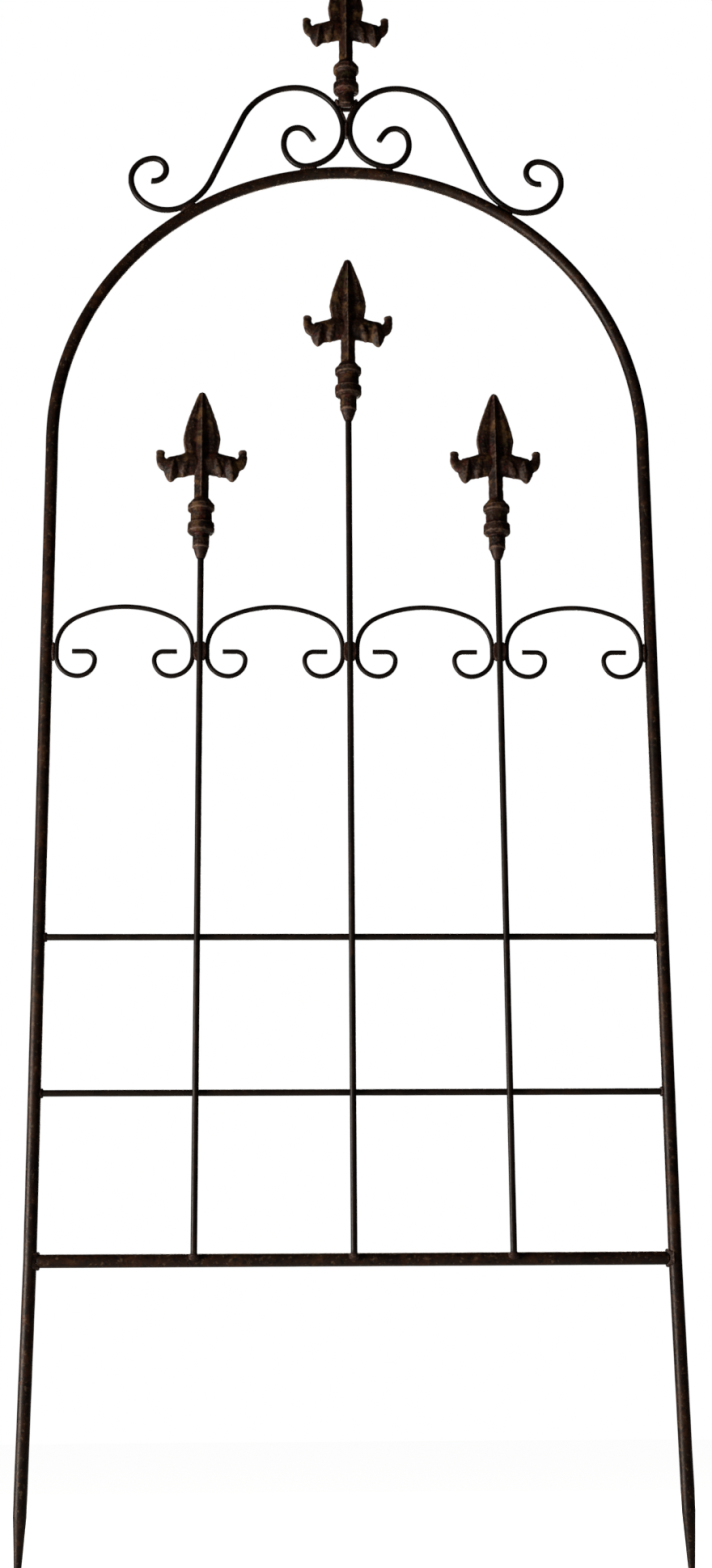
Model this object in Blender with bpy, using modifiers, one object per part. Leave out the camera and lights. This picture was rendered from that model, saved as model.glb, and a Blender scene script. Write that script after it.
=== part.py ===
"""Arched garden trellis: round steel bar, wire scrolls and cast spear finials.

Metres, +Z up. The trellis stands in the X-Z plane and is seen from -Y.
The origin is on the soil line, midway between the two stakes.
"""
import math

import bmesh
import bpy
from mathutils import Matrix, Vector

# Hoop: one round bar bent to a half circle on two straight legs
LEG_SPACING = 0.610
HOOP_ROD = 0.0127
STAKE_DEPTH = 0.250
STAKE_SPLAY = 0.75
POINT_LENGTH = 0.085
POINT_TIP = 0.0022

# Straight rods
RAIL_ROD = 0.0127
CROSS_ROD = 0.00635
UPRIGHT_ROD = 0.00635

# Levels: the arch above the soil, the grid above the rail, and the rest below the arch
ARCH_HEIGHT = 1.209
RAIL_HEIGHT = 0.065
LOWER_CROSS_RISE = 0.158
UPPER_CROSS_RISE = 0.152
ARCH_HEADROOM = 0.0984
SIDE_FINIAL_DROP = 0.1515
SCROLL_DROP = 0.109

# Clearance kept between touching pieces
SEAT_GAP = 0.0003

# C-scrolls between the legs and the uprights, half of one from its crown outwards
SCROLL_WIRE = 0.0048
SCROLL_WELD_GAP = 0.0017
CROWN_RADIUS = 0.109
SHOULDER_RADIUS = 0.0356
SCROLL_SIDE_RUN = 0.0084
CURL_OUTER_RADIUS = 0.0215
CURL_MIDDLE_RADIUS = 0.0169
CURL_INNER_RADIUS = 0.0089
CURL_TAIL = 0.014

# S-scrolls of the crest, whose curls are bends of (radius, degrees)
CREST_WIRE = 0.00635
CREST_PAIR_GAP = 0.0006
CREST_ARCH_GAP = 0.0009
LOBE_LOWER_RADIUS = 0.0433
LOBE_UPPER_RADIUS = 0.0503
CREST_CROWN_RADIUS = 0.063
CREST_FOOT_RADIUS = 0.0705
CREST_FOOT_ANGLE = 32.6
CREST_INNER_CURL = ((0.0202, 46), (0.0282, 72), (0.014, 121), (0.06, 11))
CREST_OUTER_CURL = ((0.0385, 113), (0.0243, 97), (0.0133, 192))

# Cast finials, from the lip of the cup upwards
SOCKET_DEPTH = 0.012
CUP_LIP = 0.0046
CUP_DIAMETER = 0.0170
CUP_HEIGHT = 0.0155
RING_DIAMETER = 0.0272
RING_ROUNDING = 0.0022
LOWER_RING_THICKNESS = 0.0128
UPPER_RING_THICKNESS = 0.0097
PANEL_DIAMETER = 0.0218
PANEL_HEIGHT = 0.0106
NECK_HEIGHT = 0.0045
NECK_DIAMETER = 0.0164
SHANK_SIDE = 0.0112
SHANK_LENGTH = 0.0484
ARM_SPAN = 0.0954
ARM_DROP = 0.0085
BLADE_LENGTH = 0.0699
BLADE_WIDTH = 0.0385
BLADE_THICKNESS = 0.0150

# Weld beads: how long and deep each is, and how far it stands out from its bars
RAIL_WELD_REACH = 0.0074
RAIL_WELD_THROAT = 0.0023
CROSS_WELD_REACH = 0.0046
CROSS_WELD_THROAT = 0.0015
FOOT_WELD_HEIGHT = 0.0092
FOOT_WELD_THROAT = 0.0022
FOOT_WELD_DROP = 0.0023
FOOT_WELD_SET_BACK = 0.0008
SCROLL_WELD_LENGTH = 0.020
SCROLL_WELD_CAP = 0.0018
SCROLL_WELD_DEPTH = 0.0080
CREST_PAIR_WELD_LENGTH = 0.018
CREST_PAIR_WELD_DEPTH = 0.0083
CREST_ARCH_WELD_LENGTH = 0.019
CREST_ARCH_WELD_DEPTH = 0.0090
CREST_WELD_CAP = 0.0024
CONE_WELD_LENGTH = 0.011
CONE_WELD_LIP = 0.0040
TOP_WELD_WIDTH = 0.0170
TOP_WELD_HEIGHT = 0.0084
TOP_WELD_DEPTH = 0.0060
TOP_WELD_OFFSET = 0.0046
TOP_WELD_RISE = 0.0008
BEAD_BARREL = 0.35

# Facets
CHORD_ERROR = 0.0006
HOOP_SIDES = 12
ROD_SIDES = 8
LEAF_SIDES = 6
TURNED_STEPS = 12
BEAD_STEPS = 8
BEAD_LEVELS = 5

# Sizes that follow from the ones above
LOWER_CROSS_HEIGHT = RAIL_HEIGHT + LOWER_CROSS_RISE
UPPER_CROSS_HEIGHT = LOWER_CROSS_HEIGHT + UPPER_CROSS_RISE
NECK_TOP = CUP_HEIGHT + LOWER_RING_THICKNESS + PANEL_HEIGHT + UPPER_RING_THICKNESS + NECK_HEIGHT
BLADE_BASE = NECK_TOP + SHANK_LENGTH
ARM_HEIGHT = BLADE_BASE - ARM_DROP
FINIAL_HEIGHT = BLADE_BASE + BLADE_LENGTH
HOOP_RADIUS = LEG_SPACING / 2
LEG_X = LEG_SPACING / 2
SPRING_HEIGHT = ARCH_HEIGHT - HOOP_ROD / 2 - HOOP_RADIUS
CENTRE_FINIAL_HEIGHT = ARCH_HEIGHT - HOOP_ROD - ARCH_HEADROOM - FINIAL_HEIGHT
SIDE_FINIAL_HEIGHT = CENTRE_FINIAL_HEIGHT - SIDE_FINIAL_DROP
SCROLL_HEIGHT = SIDE_FINIAL_HEIGHT - SCROLL_DROP
CLEAR_BAY = (LEG_SPACING - HOOP_ROD - 3 * UPRIGHT_ROD) / 4
UPRIGHT_SPACING = CLEAR_BAY + UPRIGHT_ROD
UPRIGHT_Y = -(CROSS_ROD / 2 + UPRIGHT_ROD / 2 + SEAT_GAP)
SCROLL_Y = UPRIGHT_Y / 2
SOCKET_RADIUS = UPRIGHT_ROD / 2 + SEAT_GAP
CUP_LIP_RADIUS = SOCKET_RADIUS + CUP_LIP
ARCH_CENTRE = Vector((0.0, SPRING_HEIGHT))


def remove_old_objects():
    """Empty the scene, so that a second run starts clean."""
    for old in list(bpy.data.objects):
        bpy.data.objects.remove(old, do_unlink=True)


def new_collection(name):
    """Add a collection to the scene."""
    collection = bpy.data.collections.new(name)
    bpy.context.scene.collection.children.link(collection)
    return collection


def new_material(name, colour, roughness, metallic):
    """Make a Principled material of one colour."""
    material = bpy.data.materials.new(name)
    material.use_nodes = True
    shader = material.node_tree.nodes["Principled BSDF"]
    shader.inputs["Base Color"].default_value = (*colour, 1.0)
    shader.inputs["Roughness"].default_value = roughness
    shader.inputs["Metallic"].default_value = metallic
    return material


remove_old_objects()
PARTS = new_collection("metal_trellis")
CUTTERS = new_collection("clearances")
BAR_STEEL = new_material("bar_steel", (0.036, 0.024, 0.018), 0.55, 0.6)
WIRE_STEEL = new_material("wire_steel", (0.024, 0.018, 0.015), 0.50, 0.6)
CAST_IRON = new_material("cast_iron", (0.048, 0.024, 0.014), 0.68, 0.5)
WELD_METAL = new_material("weld_metal", (0.070, 0.030, 0.022), 0.72, 0.5)


class WirePath:
    """The centre line of a bent wire in the X-Z plane: runs and arcs, each tangent to the last."""

    def __init__(self, start, heading):
        self.point = Vector(start)
        self.heading = heading
        self.points = [self.point.copy()]

    def run(self, length):
        """Go straight on."""
        turn = math.radians(self.heading)
        self.point = self.point + length * Vector((math.cos(turn), math.sin(turn)))
        self.points.append(self.point.copy())
        return self

    def bend(self, radius, degrees):
        """Go round an arc, anticlockwise where degrees is positive."""
        step_limit = 2 * math.degrees(math.acos(1 - CHORD_ERROR / radius))
        steps = max(1, math.ceil(abs(degrees) / step_limit))
        step = degrees / steps
        chord = 2 * radius * math.sin(math.radians(abs(step)) / 2)
        for _ in range(steps):
            self.heading += step / 2
            self.run(chord)
            self.heading += step / 2
        return self


def mirrored(points):
    """The same points on the other side of the X = 0 plane, in reverse order."""
    return [Vector((-p.x, p.y)) for p in reversed(points)]


def in_plane(points, x=0.0, y=0.0, z=0.0):
    """Points of the X-Z plane as places in space, moved by x, y and z."""
    return [Vector((x + p.x, y, z + p.y)) for p in points]


def finish(obj, collection, material):
    """Put an object in its collection and give it its material."""
    collection.objects.link(obj)
    obj.data.materials.append(material)
    if collection is CUTTERS:
        obj.hide_render = True
        obj.display_type = "WIRE"
    return obj


def round_bar(name, points, diameter, sides, material, collection=PARTS, taper=None):
    """A round bar along points, with its own radius factor at each point where it tapers."""
    curve = bpy.data.curves.new(name, "CURVE")
    curve.dimensions = "3D"
    curve.bevel_depth = diameter / 2
    curve.bevel_resolution = (sides - 4) // 2
    curve.use_fill_caps = True
    spline = curve.splines.new("POLY")
    spline.points.add(len(points) - 1)
    for index, place in enumerate(points):
        spline.points[index].co = (*place, 1.0)
        spline.points[index].radius = taper[index] if taper else 1.0
    return finish(bpy.data.objects.new(name, curve), collection, material)


def as_mesh(curve_object, collection):
    """A curve object as a closed mesh object with the same name, ready for a Boolean."""
    name = curve_object.name
    place = curve_object.matrix_world.copy()
    evaluated = curve_object.evaluated_get(bpy.context.evaluated_depsgraph_get())
    mesh = bpy.data.meshes.new_from_object(evaluated)
    bpy.data.objects.remove(curve_object, do_unlink=True)
    solid = bmesh.new()
    solid.from_mesh(mesh)
    bmesh.ops.remove_doubles(solid, verts=solid.verts, dist=0.00001)
    solid.to_mesh(mesh)
    solid.free()
    obj = bpy.data.objects.new(name, mesh)
    obj.matrix_world = place
    collection.objects.link(obj)
    if collection is CUTTERS:
        obj.hide_render = True
        obj.display_type = "WIRE"
    return obj


def mesh_object(name, solid, material, collection=PARTS):
    """A bmesh as a smooth-shaded object."""
    mesh = bpy.data.meshes.new(name)
    solid.to_mesh(mesh)
    solid.free()
    mesh.shade_smooth()
    mesh.set_sharp_from_angle(angle=math.radians(35))
    return finish(bpy.data.objects.new(name, mesh), collection, material)


def turned(name, profile, steps, material, collection=PARTS, closed=False):
    """A turned piece. The profile of (radius, height) runs down its outer side."""
    mesh = bpy.data.meshes.new(name)
    edges = [(i, i + 1) for i in range(len(profile) - 1)]
    if closed:
        edges.append((len(profile) - 1, 0))
    mesh.from_pydata([(radius, 0.0, height) for radius, height in profile], edges, [])
    obj = finish(bpy.data.objects.new(name, mesh), collection, material)
    screw = obj.modifiers.new("turn", "SCREW")
    screw.steps = steps
    screw.render_steps = steps
    screw.use_merge_vertices = True
    screw.merge_threshold = 0.00001
    screw.use_smooth_shade = True
    return obj


def boolean(obj, other, operation):
    """Join another solid to this one, or cut it away."""
    modifier = obj.modifiers.new(other.name, "BOOLEAN")
    modifier.operation = operation
    modifier.solver = "EXACT"
    modifier.object = other


# Paths of the bent pieces

def hoop_path():
    """The hoop's centre line and its radius factors, from one stake's tip to the other's."""
    splay = math.tan(math.radians(STAKE_SPLAY))
    tip = Vector((-LEG_X - splay * (RAIL_HEIGHT + STAKE_DEPTH), -STAKE_DEPTH))
    shoulder_z = POINT_LENGTH - STAKE_DEPTH
    shoulder = Vector((-LEG_X - splay * (RAIL_HEIGHT - shoulder_z), shoulder_z))
    kink = Vector((-LEG_X, RAIL_HEIGHT))
    arch = WirePath((-LEG_X, SPRING_HEIGHT), 90).bend(HOOP_RADIUS, -180).points
    arch[-1].x = LEG_X
    left = [tip, shoulder, kink]
    points = left + arch + mirrored(left)
    factors = [1.0] * len(points)
    factors[0] = factors[-1] = POINT_TIP / HOOP_ROD
    return in_plane(points), factors


def scroll_half_width():
    """From a C-scroll's middle to the centre line of its side."""
    return CLEAR_BAY / 2 - SCROLL_WELD_GAP - SCROLL_WIRE / 2


def scroll_path():
    """A C-scroll's centre line, with its crown at the origin."""
    half_width = scroll_half_width()
    rise = math.sqrt((CROWN_RADIUS - SHOULDER_RADIUS) ** 2 - (half_width - SHOULDER_RADIUS) ** 2)
    crown_angle = math.degrees(math.atan2(half_width - SHOULDER_RADIUS, rise))
    half = WirePath((0.0, 0.0), 0)
    half.bend(CROWN_RADIUS, -crown_angle).bend(SHOULDER_RADIUS, crown_angle - 90)
    half.run(SCROLL_SIDE_RUN / 2)
    side_drop = -half.point.y
    half.run(SCROLL_SIDE_RUN / 2)
    for radius in (CURL_OUTER_RADIUS, CURL_MIDDLE_RADIUS, CURL_INNER_RADIUS):
        half.bend(radius, -90)
    half.run(CURL_TAIL)
    return mirrored(half.points[1:]) + half.points, side_drop


class CrestScroll:
    """The right-hand S-scroll: circles that touch each other, the arch and the middle line."""

    def __init__(self):
        self.reach = HOOP_RADIUS + HOOP_ROD / 2 + CREST_ARCH_GAP + CREST_WIRE / 2
        self.side_x = CREST_PAIR_GAP / 2 + CREST_WIRE / 2
        x = self.side_x + LOBE_LOWER_RADIUS
        height = math.sqrt((self.reach + LOBE_LOWER_RADIUS) ** 2 - x ** 2)
        self.lobe = ARCH_CENTRE + Vector((x, height))
        self.upper = Vector((self.side_x + LOBE_UPPER_RADIUS, self.lobe.y))
        self.crown = self.upper + Vector((0.0, LOBE_UPPER_RADIUS - CREST_CROWN_RADIUS))
        foot_turn = math.radians(CREST_FOOT_ANGLE)
        foot_way = Vector((math.sin(foot_turn), math.cos(foot_turn)))
        self.foot = ARCH_CENTRE + (self.reach + CREST_FOOT_RADIUS) * foot_way
        self.foot_contact = ARCH_CENTRE + self.reach * foot_way
        lobe_way = (self.lobe - ARCH_CENTRE).normalized()
        self.lobe_contact = ARCH_CENTRE + self.reach * lobe_way
        self.lobe_angle = math.degrees(math.atan2(lobe_way.x, lobe_way.y))

    def path(self):
        """Centre line from the inner curl, over the lobe and down the stem, to the outer curl."""
        span = self.foot - self.crown
        radii = CREST_CROWN_RADIUS + CREST_FOOT_RADIUS
        stem = math.sqrt(span.length_squared - radii ** 2)
        stem_heading = math.degrees(math.atan2(span.y, span.x) - math.atan2(radii, stem))
        outer = WirePath(self.lobe_contact, 180 - self.lobe_angle)
        outer.bend(LOBE_LOWER_RADIUS, self.lobe_angle - 90).bend(LOBE_UPPER_RADIUS, -90)
        outer.bend(CREST_CROWN_RADIUS, stem_heading).run(stem)
        outer.bend(CREST_FOOT_RADIUS, -CREST_FOOT_ANGLE - stem_heading)
        for radius, degrees in CREST_OUTER_CURL:
            outer.bend(radius, degrees)
        inner = WirePath(self.lobe_contact, -self.lobe_angle)
        for radius, degrees in CREST_INNER_CURL:
            inner.bend(radius, degrees)
        return inner.points[:0:-1] + outer.points


# Cast finial

def cup_profile():
    """The turned foot of the finial, as (radius, height) from its lip up to its neck."""
    lower = CUP_HEIGHT
    panel = lower + LOWER_RING_THICKNESS
    upper = panel + PANEL_HEIGHT
    neck = upper + UPPER_RING_THICKNESS
    cup, ring, waist = CUP_DIAMETER / 2, RING_DIAMETER / 2, PANEL_DIAMETER / 2
    edge = RING_ROUNDING
    return [
        (CUP_LIP_RADIUS, 0.0),
        (cup, edge / 2),
        (cup, lower - edge / 2),
        (ring - edge, lower),
        (ring, lower + edge),
        (ring, panel - edge),
        (waist, panel),
        (waist, upper),
        (ring, upper + edge),
        (ring, neck - edge),
        (ring - edge, neck),
        (NECK_DIAMETER / 2, NECK_TOP),
    ]


def blade_half_width(share):
    """Half the blade's width at a share of its length: a leaf, widest a quarter of the way up."""
    widest, base_draw_in, tip_draw_in = 0.24, 0.14, 0.88
    if share < widest:
        fullness = 1 - base_draw_in * ((widest - share) / widest) ** 1.2
    else:
        fullness = 1 - tip_draw_in * ((share - widest) / (1 - widest)) ** 1.42
    return BLADE_WIDTH / 2 * fullness


def blade_section(share):
    """One level outline of the blade: a ridge down the middle and a flute on each side."""
    half_width = blade_half_width(share)
    tip_thinning = 0.62
    ridge = BLADE_THICKNESS / 2 * (1 - tip_thinning * share ** 1.5)
    across = ((0.0, 1.0), (0.12, 0.84), (0.27, 0.38), (0.50, 0.38), (0.80, 0.62))
    depth = min(ridge, half_width * 1.2)
    front = [(half_width * x, -depth * y) for x, y in across]
    right = front + [(half_width, 0.0)] + [(x, -y) for x, y in reversed(front)]
    left = [(-x, y) for x, y in reversed(right[1:-1])]
    return right + left


def loft(sections, heights):
    """A closed solid through level outlines that have the same number of points."""
    solid = bmesh.new()
    rings = []
    for outline, height in zip(sections, heights):
        rings.append([solid.verts.new((x, y, height)) for x, y in outline])
    count = len(rings[0])
    for lower, upper in zip(rings, rings[1:]):
        for i in range(count):
            j = (i + 1) % count
            solid.faces.new((lower[i], lower[j], upper[j], upper[i]))
    solid.faces.new(tuple(reversed(rings[0])))
    solid.faces.new(tuple(rings[-1]))
    bmesh.ops.recalc_face_normals(solid, faces=solid.faces)
    return solid


def smooth_run(knots, steps):
    """Knots of (x, z, radius) joined by a smooth run of points that passes through them."""
    padded = [knots[0]] + list(knots) + [knots[-1]]
    run = []
    for a, b, c, d in zip(padded, padded[1:], padded[2:], padded[3:]):
        for step in range(steps):
            t = step / steps
            run.append(tuple(
                0.5 * (2 * q + (r - p) * t + (2 * p - 5 * q + 4 * r - s) * t * t
                       + (3 * q - p - 3 * r + s) * t ** 3)
                for p, q, r, s in zip(a, b, c, d)))
    run.append(tuple(knots[-1]))
    return run


def leaf_tube(name, knots, steps, flatness, side):
    """A swelling, flattened rod along knots that are shares of the arm's span and its height."""
    half_span = ARM_SPAN / 2
    run = smooth_run([(x * half_span, z * half_span, r * half_span) for x, z, r in knots], steps)
    places = [Vector((side * x, 0.0, ARM_HEIGHT + z)) for x, z, _ in run]
    thickest = max(radius for _, _, radius in run)
    tube = round_bar(name, places, 2 * thickest, LEAF_SIDES, CAST_IRON, CUTTERS,
                     [radius / thickest for _, _, radius in run])
    bpy.context.view_layer.update()
    tube = as_mesh(tube, CUTTERS)
    tube.data.transform(Matrix.Diagonal((1.0, flatness, 1.0, 1.0)))
    return tube


def arm_leaves():
    """One arm's leaves: name, flatness, steps between knots, and knots of (out, up, half height).

    The knots are shares of half the arm's span.
    """
    tendril = ((0.00, 0.00, 0.20), (0.22, 0.00, 0.27), (0.45, -0.03, 0.235), (0.66, -0.05, 0.20),
               (0.84, -0.01, 0.155), (0.89, 0.14, 0.108), (0.89, 0.290, 0.095))
    web = ((0.12, -0.19, 0.18), (0.38, -0.20, 0.185), (0.62, -0.23, 0.18))
    outer_lobe = ((0.60, -0.10, 0.20), (0.665, -0.28, 0.150), (0.675, -0.45, 0.100))
    middle_lobe = ((0.37, -0.10, 0.20), (0.42, -0.27, 0.150), (0.435, -0.39, 0.115))
    inner_lobe = ((0.15, -0.10, 0.20), (0.19, -0.26, 0.150), (0.205, -0.375, 0.110))
    return (("tendril", 0.58, 2, tendril), ("web", 0.45, 1, web), ("outer_lobe", 0.80, 1, outer_lobe),
            ("middle_lobe", 0.95, 1, middle_lobe), ("inner_lobe", 0.85, 1, inner_lobe))


def cast_finial_mesh():
    """The whole casting, joined and bored, with its lip at the origin."""
    outer = [(0.0, NECK_TOP)] + list(reversed(cup_profile())) + [(0.0, 0.0)]
    body = turned("finial_body", outer, TURNED_STEPS, CAST_IRON, CUTTERS)

    shank_bottom = NECK_TOP - NECK_HEIGHT
    shank_top = BLADE_BASE + SHANK_SIDE / 4
    square = bmesh.new()
    bmesh.ops.create_cube(square, size=1.0)
    bmesh.ops.scale(square, vec=(SHANK_SIDE, SHANK_SIDE, shank_top - shank_bottom), verts=square.verts)
    bmesh.ops.rotate(square, matrix=Matrix.Rotation(math.radians(45), 3, "Z"), verts=square.verts)
    middle = (shank_top + shank_bottom) / 2
    bmesh.ops.translate(square, vec=(0.0, 0.0, middle), verts=square.verts)
    pieces = [mesh_object("finial_shank", square, CAST_IRON, CUTTERS)]

    shares = [0.0, 0.24, 0.42, 0.59, 0.75, 0.89, 1.0]
    blade = loft([blade_section(s) for s in shares], [BLADE_BASE + BLADE_LENGTH * s for s in shares])
    pieces.append(mesh_object("finial_blade", blade, CAST_IRON, CUTTERS))
    for side in (-1, 1):
        for leaf, flatness, steps, knots in arm_leaves():
            pieces.append(leaf_tube(f"finial_{leaf}_{side}", knots, steps, flatness, side))
    for piece in pieces:
        boolean(body, piece, "UNION")

    bore = bmesh.new()
    bore_radius = SOCKET_RADIUS / math.cos(math.pi / TURNED_STEPS)
    bmesh.ops.create_cone(bore, cap_ends=True, segments=TURNED_STEPS, radius1=bore_radius,
                          radius2=bore_radius, depth=2 * SOCKET_DEPTH)
    boolean(body, mesh_object("finial_bore", bore, CAST_IRON, CUTTERS), "DIFFERENCE")

    bpy.context.view_layer.update()
    evaluated = body.evaluated_get(bpy.context.evaluated_depsgraph_get())
    mesh = bpy.data.meshes.new_from_object(evaluated)
    mesh.name = "cast_finial"
    for piece in pieces + [body, bpy.data.objects["finial_bore"]]:
        bpy.data.objects.remove(piece, do_unlink=True)
    solid = bmesh.new()
    solid.from_mesh(mesh)
    bmesh.ops.remove_doubles(solid, verts=solid.verts, dist=0.00002)
    bmesh.ops.dissolve_degenerate(solid, edges=solid.edges, dist=0.00002)
    bmesh.ops.triangulate(solid, faces=solid.faces)
    solid.to_mesh(mesh)
    solid.free()
    mesh.shade_smooth()
    mesh.set_sharp_from_angle(angle=math.radians(35))
    mesh.materials.clear()
    mesh.materials.append(CAST_IRON)
    return mesh


def place_finial(name, mesh, x, y, z):
    """One casting at its place. All of them share one mesh."""
    obj = bpy.data.objects.new(name, mesh)
    obj.location = (x, y, z)
    PARTS.objects.link(obj)
    return obj


def nested_height(crest):
    """Where the top finial's lip comes to rest in the V between the two crest scrolls."""
    clear = LOBE_UPPER_RADIUS + CREST_WIRE / 2 + SEAT_GAP
    rests = []
    for radius, height in cup_profile():
        across = crest.upper.x - radius
        if across < clear:
            rests.append(crest.upper.y + math.sqrt(clear ** 2 - across ** 2) - height)
    return max(rests)


# Weld beads

def bead(name, centre, half_sizes, cutters, lean=0.0, straight=0.0):
    """A blob of weld metal, barrel-shaped where straight is above 0, cut back from its bars."""
    profile = []
    for level in range(BEAD_LEVELS + 1):
        angle = math.pi * level / BEAD_LEVELS
        shift = straight if angle < math.pi / 2 else -straight
        height = math.cos(angle) * (1 - straight) + shift
        profile.append((math.sin(angle), height))
    profile[0] = (0.0, 1.0)
    profile[-1] = (0.0, -1.0)
    solid = bmesh.new()
    verts = [solid.verts.new((radius, 0.0, height)) for radius, height in profile]
    edges = [solid.edges.new(pair) for pair in zip(verts, verts[1:])]
    bmesh.ops.spin(solid, geom=verts + edges, axis=(0, 0, 1), cent=(0, 0, 0), steps=BEAD_STEPS,
                   angle=2 * math.pi, use_merge=True)
    bmesh.ops.remove_doubles(solid, verts=solid.verts, dist=0.0001)
    bmesh.ops.recalc_face_normals(solid, faces=solid.faces)
    bmesh.ops.scale(solid, vec=half_sizes, verts=solid.verts)
    bmesh.ops.rotate(solid, matrix=Matrix.Rotation(lean, 3, "Y"), verts=solid.verts)
    bmesh.ops.translate(solid, vec=centre, verts=solid.verts)
    obj = mesh_object(name, solid, WELD_METAL)
    for cutter in cutters:
        boolean(obj, cutter, "DIFFERENCE")
    return obj


def cone_weld(name, x, y, z):
    """The tapering weld that joins a finial's lip to its upright."""
    inner = SOCKET_RADIUS
    top = z - SEAT_GAP
    slope = ((1.00, 0.00), (0.74, 0.36), (0.42, 0.72), (0.12, 1.00), (0.00, 1.00), (0.00, 0.00))
    profile = [(inner + CONE_WELD_LIP * out, top - CONE_WELD_LENGTH * down) for out, down in slope]
    obj = turned(name, profile, TURNED_STEPS, WELD_METAL, closed=True)
    obj.location = (x, y, 0.0)
    return obj


def clearance(name, points, diameter, sides, taper=None):
    """A bar grown by the seat gap all round, as a cutter."""
    bar = round_bar(name, points, diameter + 2 * SEAT_GAP, sides, BAR_STEEL, CUTTERS, taper)
    bpy.context.view_layer.update()
    return as_mesh(bar, CUTTERS)


def straight(start, end, grow=0.0):
    """The two ends of a straight bar, each moved out by grow."""
    start, end = Vector(start), Vector(end)
    way = (end - start).normalized()
    return [start - grow * way, end + grow * way]


def build_frame():
    """Hoop, bottom rail, cross rods and the welds at their ends."""
    points, factors = hoop_path()
    round_bar("arch_hoop", points, HOOP_ROD, HOOP_SIDES, BAR_STEEL, taper=factors)
    hoop_clear = clearance("hoop_clearance", points, HOOP_ROD, HOOP_SIDES, factors)

    end_x = LEG_X - HOOP_ROD / 2 - SEAT_GAP
    rail_weld = (RAIL_WELD_REACH, RAIL_WELD_THROAT)
    cross_weld = (CROSS_WELD_REACH, CROSS_WELD_THROAT)
    bars = (
        ("bottom_rail", RAIL_HEIGHT, RAIL_ROD, HOOP_SIDES, "rail_weld", rail_weld),
        ("lower_cross_rod", LOWER_CROSS_HEIGHT, CROSS_ROD, ROD_SIDES, "lower_cross_weld", cross_weld),
        ("upper_cross_rod", UPPER_CROSS_HEIGHT, CROSS_ROD, ROD_SIDES, "upper_cross_weld", cross_weld),
    )
    clears = {}
    for name, height, diameter, sides, weld, (reach, throat) in bars:
        ends = ((-end_x, 0.0, height), (end_x, 0.0, height))
        round_bar(name, straight(*ends), diameter, sides, BAR_STEEL)
        clears[name] = clearance(name + "_clearance", straight(*ends, SEAT_GAP), diameter, sides)
        half = diameter / 2 + throat
        for side, x in (("left", -end_x), ("right", end_x)):
            bead(f"{weld}_{side}", (x, 0.0, height), (reach, half, half), [hoop_clear, clears[name]])
    return hoop_clear, clears["bottom_rail"]


def build_uprights(rail_clear, casting):
    """Three uprights in front of the cross rods, each with a finial and its welds."""
    reach_in = UPRIGHT_Y + UPRIGHT_ROD / 2
    seat = RAIL_HEIGHT + math.sqrt((RAIL_ROD / 2) ** 2 - reach_in ** 2) + SEAT_GAP
    clears = []
    for index, side in enumerate(("left", "centre", "right")):
        x = (index - 1) * UPRIGHT_SPACING
        finial_z = CENTRE_FINIAL_HEIGHT if side == "centre" else SIDE_FINIAL_HEIGHT
        ends = ((x, UPRIGHT_Y, seat), (x, UPRIGHT_Y, finial_z + SOCKET_DEPTH - SEAT_GAP))
        round_bar(f"{side}_upright", straight(*ends), UPRIGHT_ROD, ROD_SIDES, BAR_STEEL)
        clear = clearance(f"{side}_upright_clearance", straight(*ends, SEAT_GAP), UPRIGHT_ROD, ROD_SIDES)
        clears.append(clear)
        place_finial(f"{side}_finial", casting, x, UPRIGHT_Y, finial_z)
        cone_weld(f"{side}_finial_weld", x, UPRIGHT_Y, finial_z)
        foot_half = UPRIGHT_ROD / 2 + FOOT_WELD_THROAT
        bead(f"{side}_upright_foot_weld", (x, UPRIGHT_Y + FOOT_WELD_SET_BACK, seat - FOOT_WELD_DROP),
             (foot_half, foot_half, FOOT_WELD_HEIGHT / 2), [rail_clear, clear])
    return clears


def build_scrolls(hoop_clear, upright_clears):
    """Four C-scrolls, each welded by its sides to the bars of its bay."""
    path, side_drop = scroll_path()
    crown_z = SCROLL_HEIGHT + side_drop
    neighbours = [hoop_clear] + upright_clears + [hoop_clear]
    bar_x = [-LEG_X, -UPRIGHT_SPACING, 0.0, UPRIGHT_SPACING, LEG_X]
    bar_y = [0.0] + [UPRIGHT_Y] * 3 + [0.0]
    bar_radius = [HOOP_ROD / 2] + [UPRIGHT_ROD / 2] * 3 + [HOOP_ROD / 2]
    half_width = scroll_half_width()
    for bay in range(4):
        middle = bar_x[bay] + bar_radius[bay] + CLEAR_BAY / 2
        points = in_plane(path, middle, SCROLL_Y, crown_z)
        round_bar(f"c_scroll_{bay + 1}", points, SCROLL_WIRE, ROD_SIDES, WIRE_STEEL)
        scroll_clear = clearance(f"c_scroll_{bay + 1}_clearance", points, SCROLL_WIRE, ROD_SIDES)
        for side, way, bar in (("left", -1, bay), ("right", 1, bay + 1)):
            wire = Vector((middle + way * half_width, SCROLL_Y))
            to_bar = Vector((bar_x[bar], bar_y[bar])) - wire
            gap = to_bar.length - bar_radius[bar] - SCROLL_WIRE / 2
            spot = wire + to_bar.normalized() * (SCROLL_WIRE / 2 + gap / 2)
            bead(f"c_scroll_{bay + 1}_weld_{side}", (spot.x, spot.y, SCROLL_HEIGHT),
                 (gap / 2 + SCROLL_WELD_CAP, SCROLL_WELD_DEPTH / 2, SCROLL_WELD_LENGTH / 2),
                 [neighbours[bar], scroll_clear], straight=BEAD_BARREL)


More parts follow.
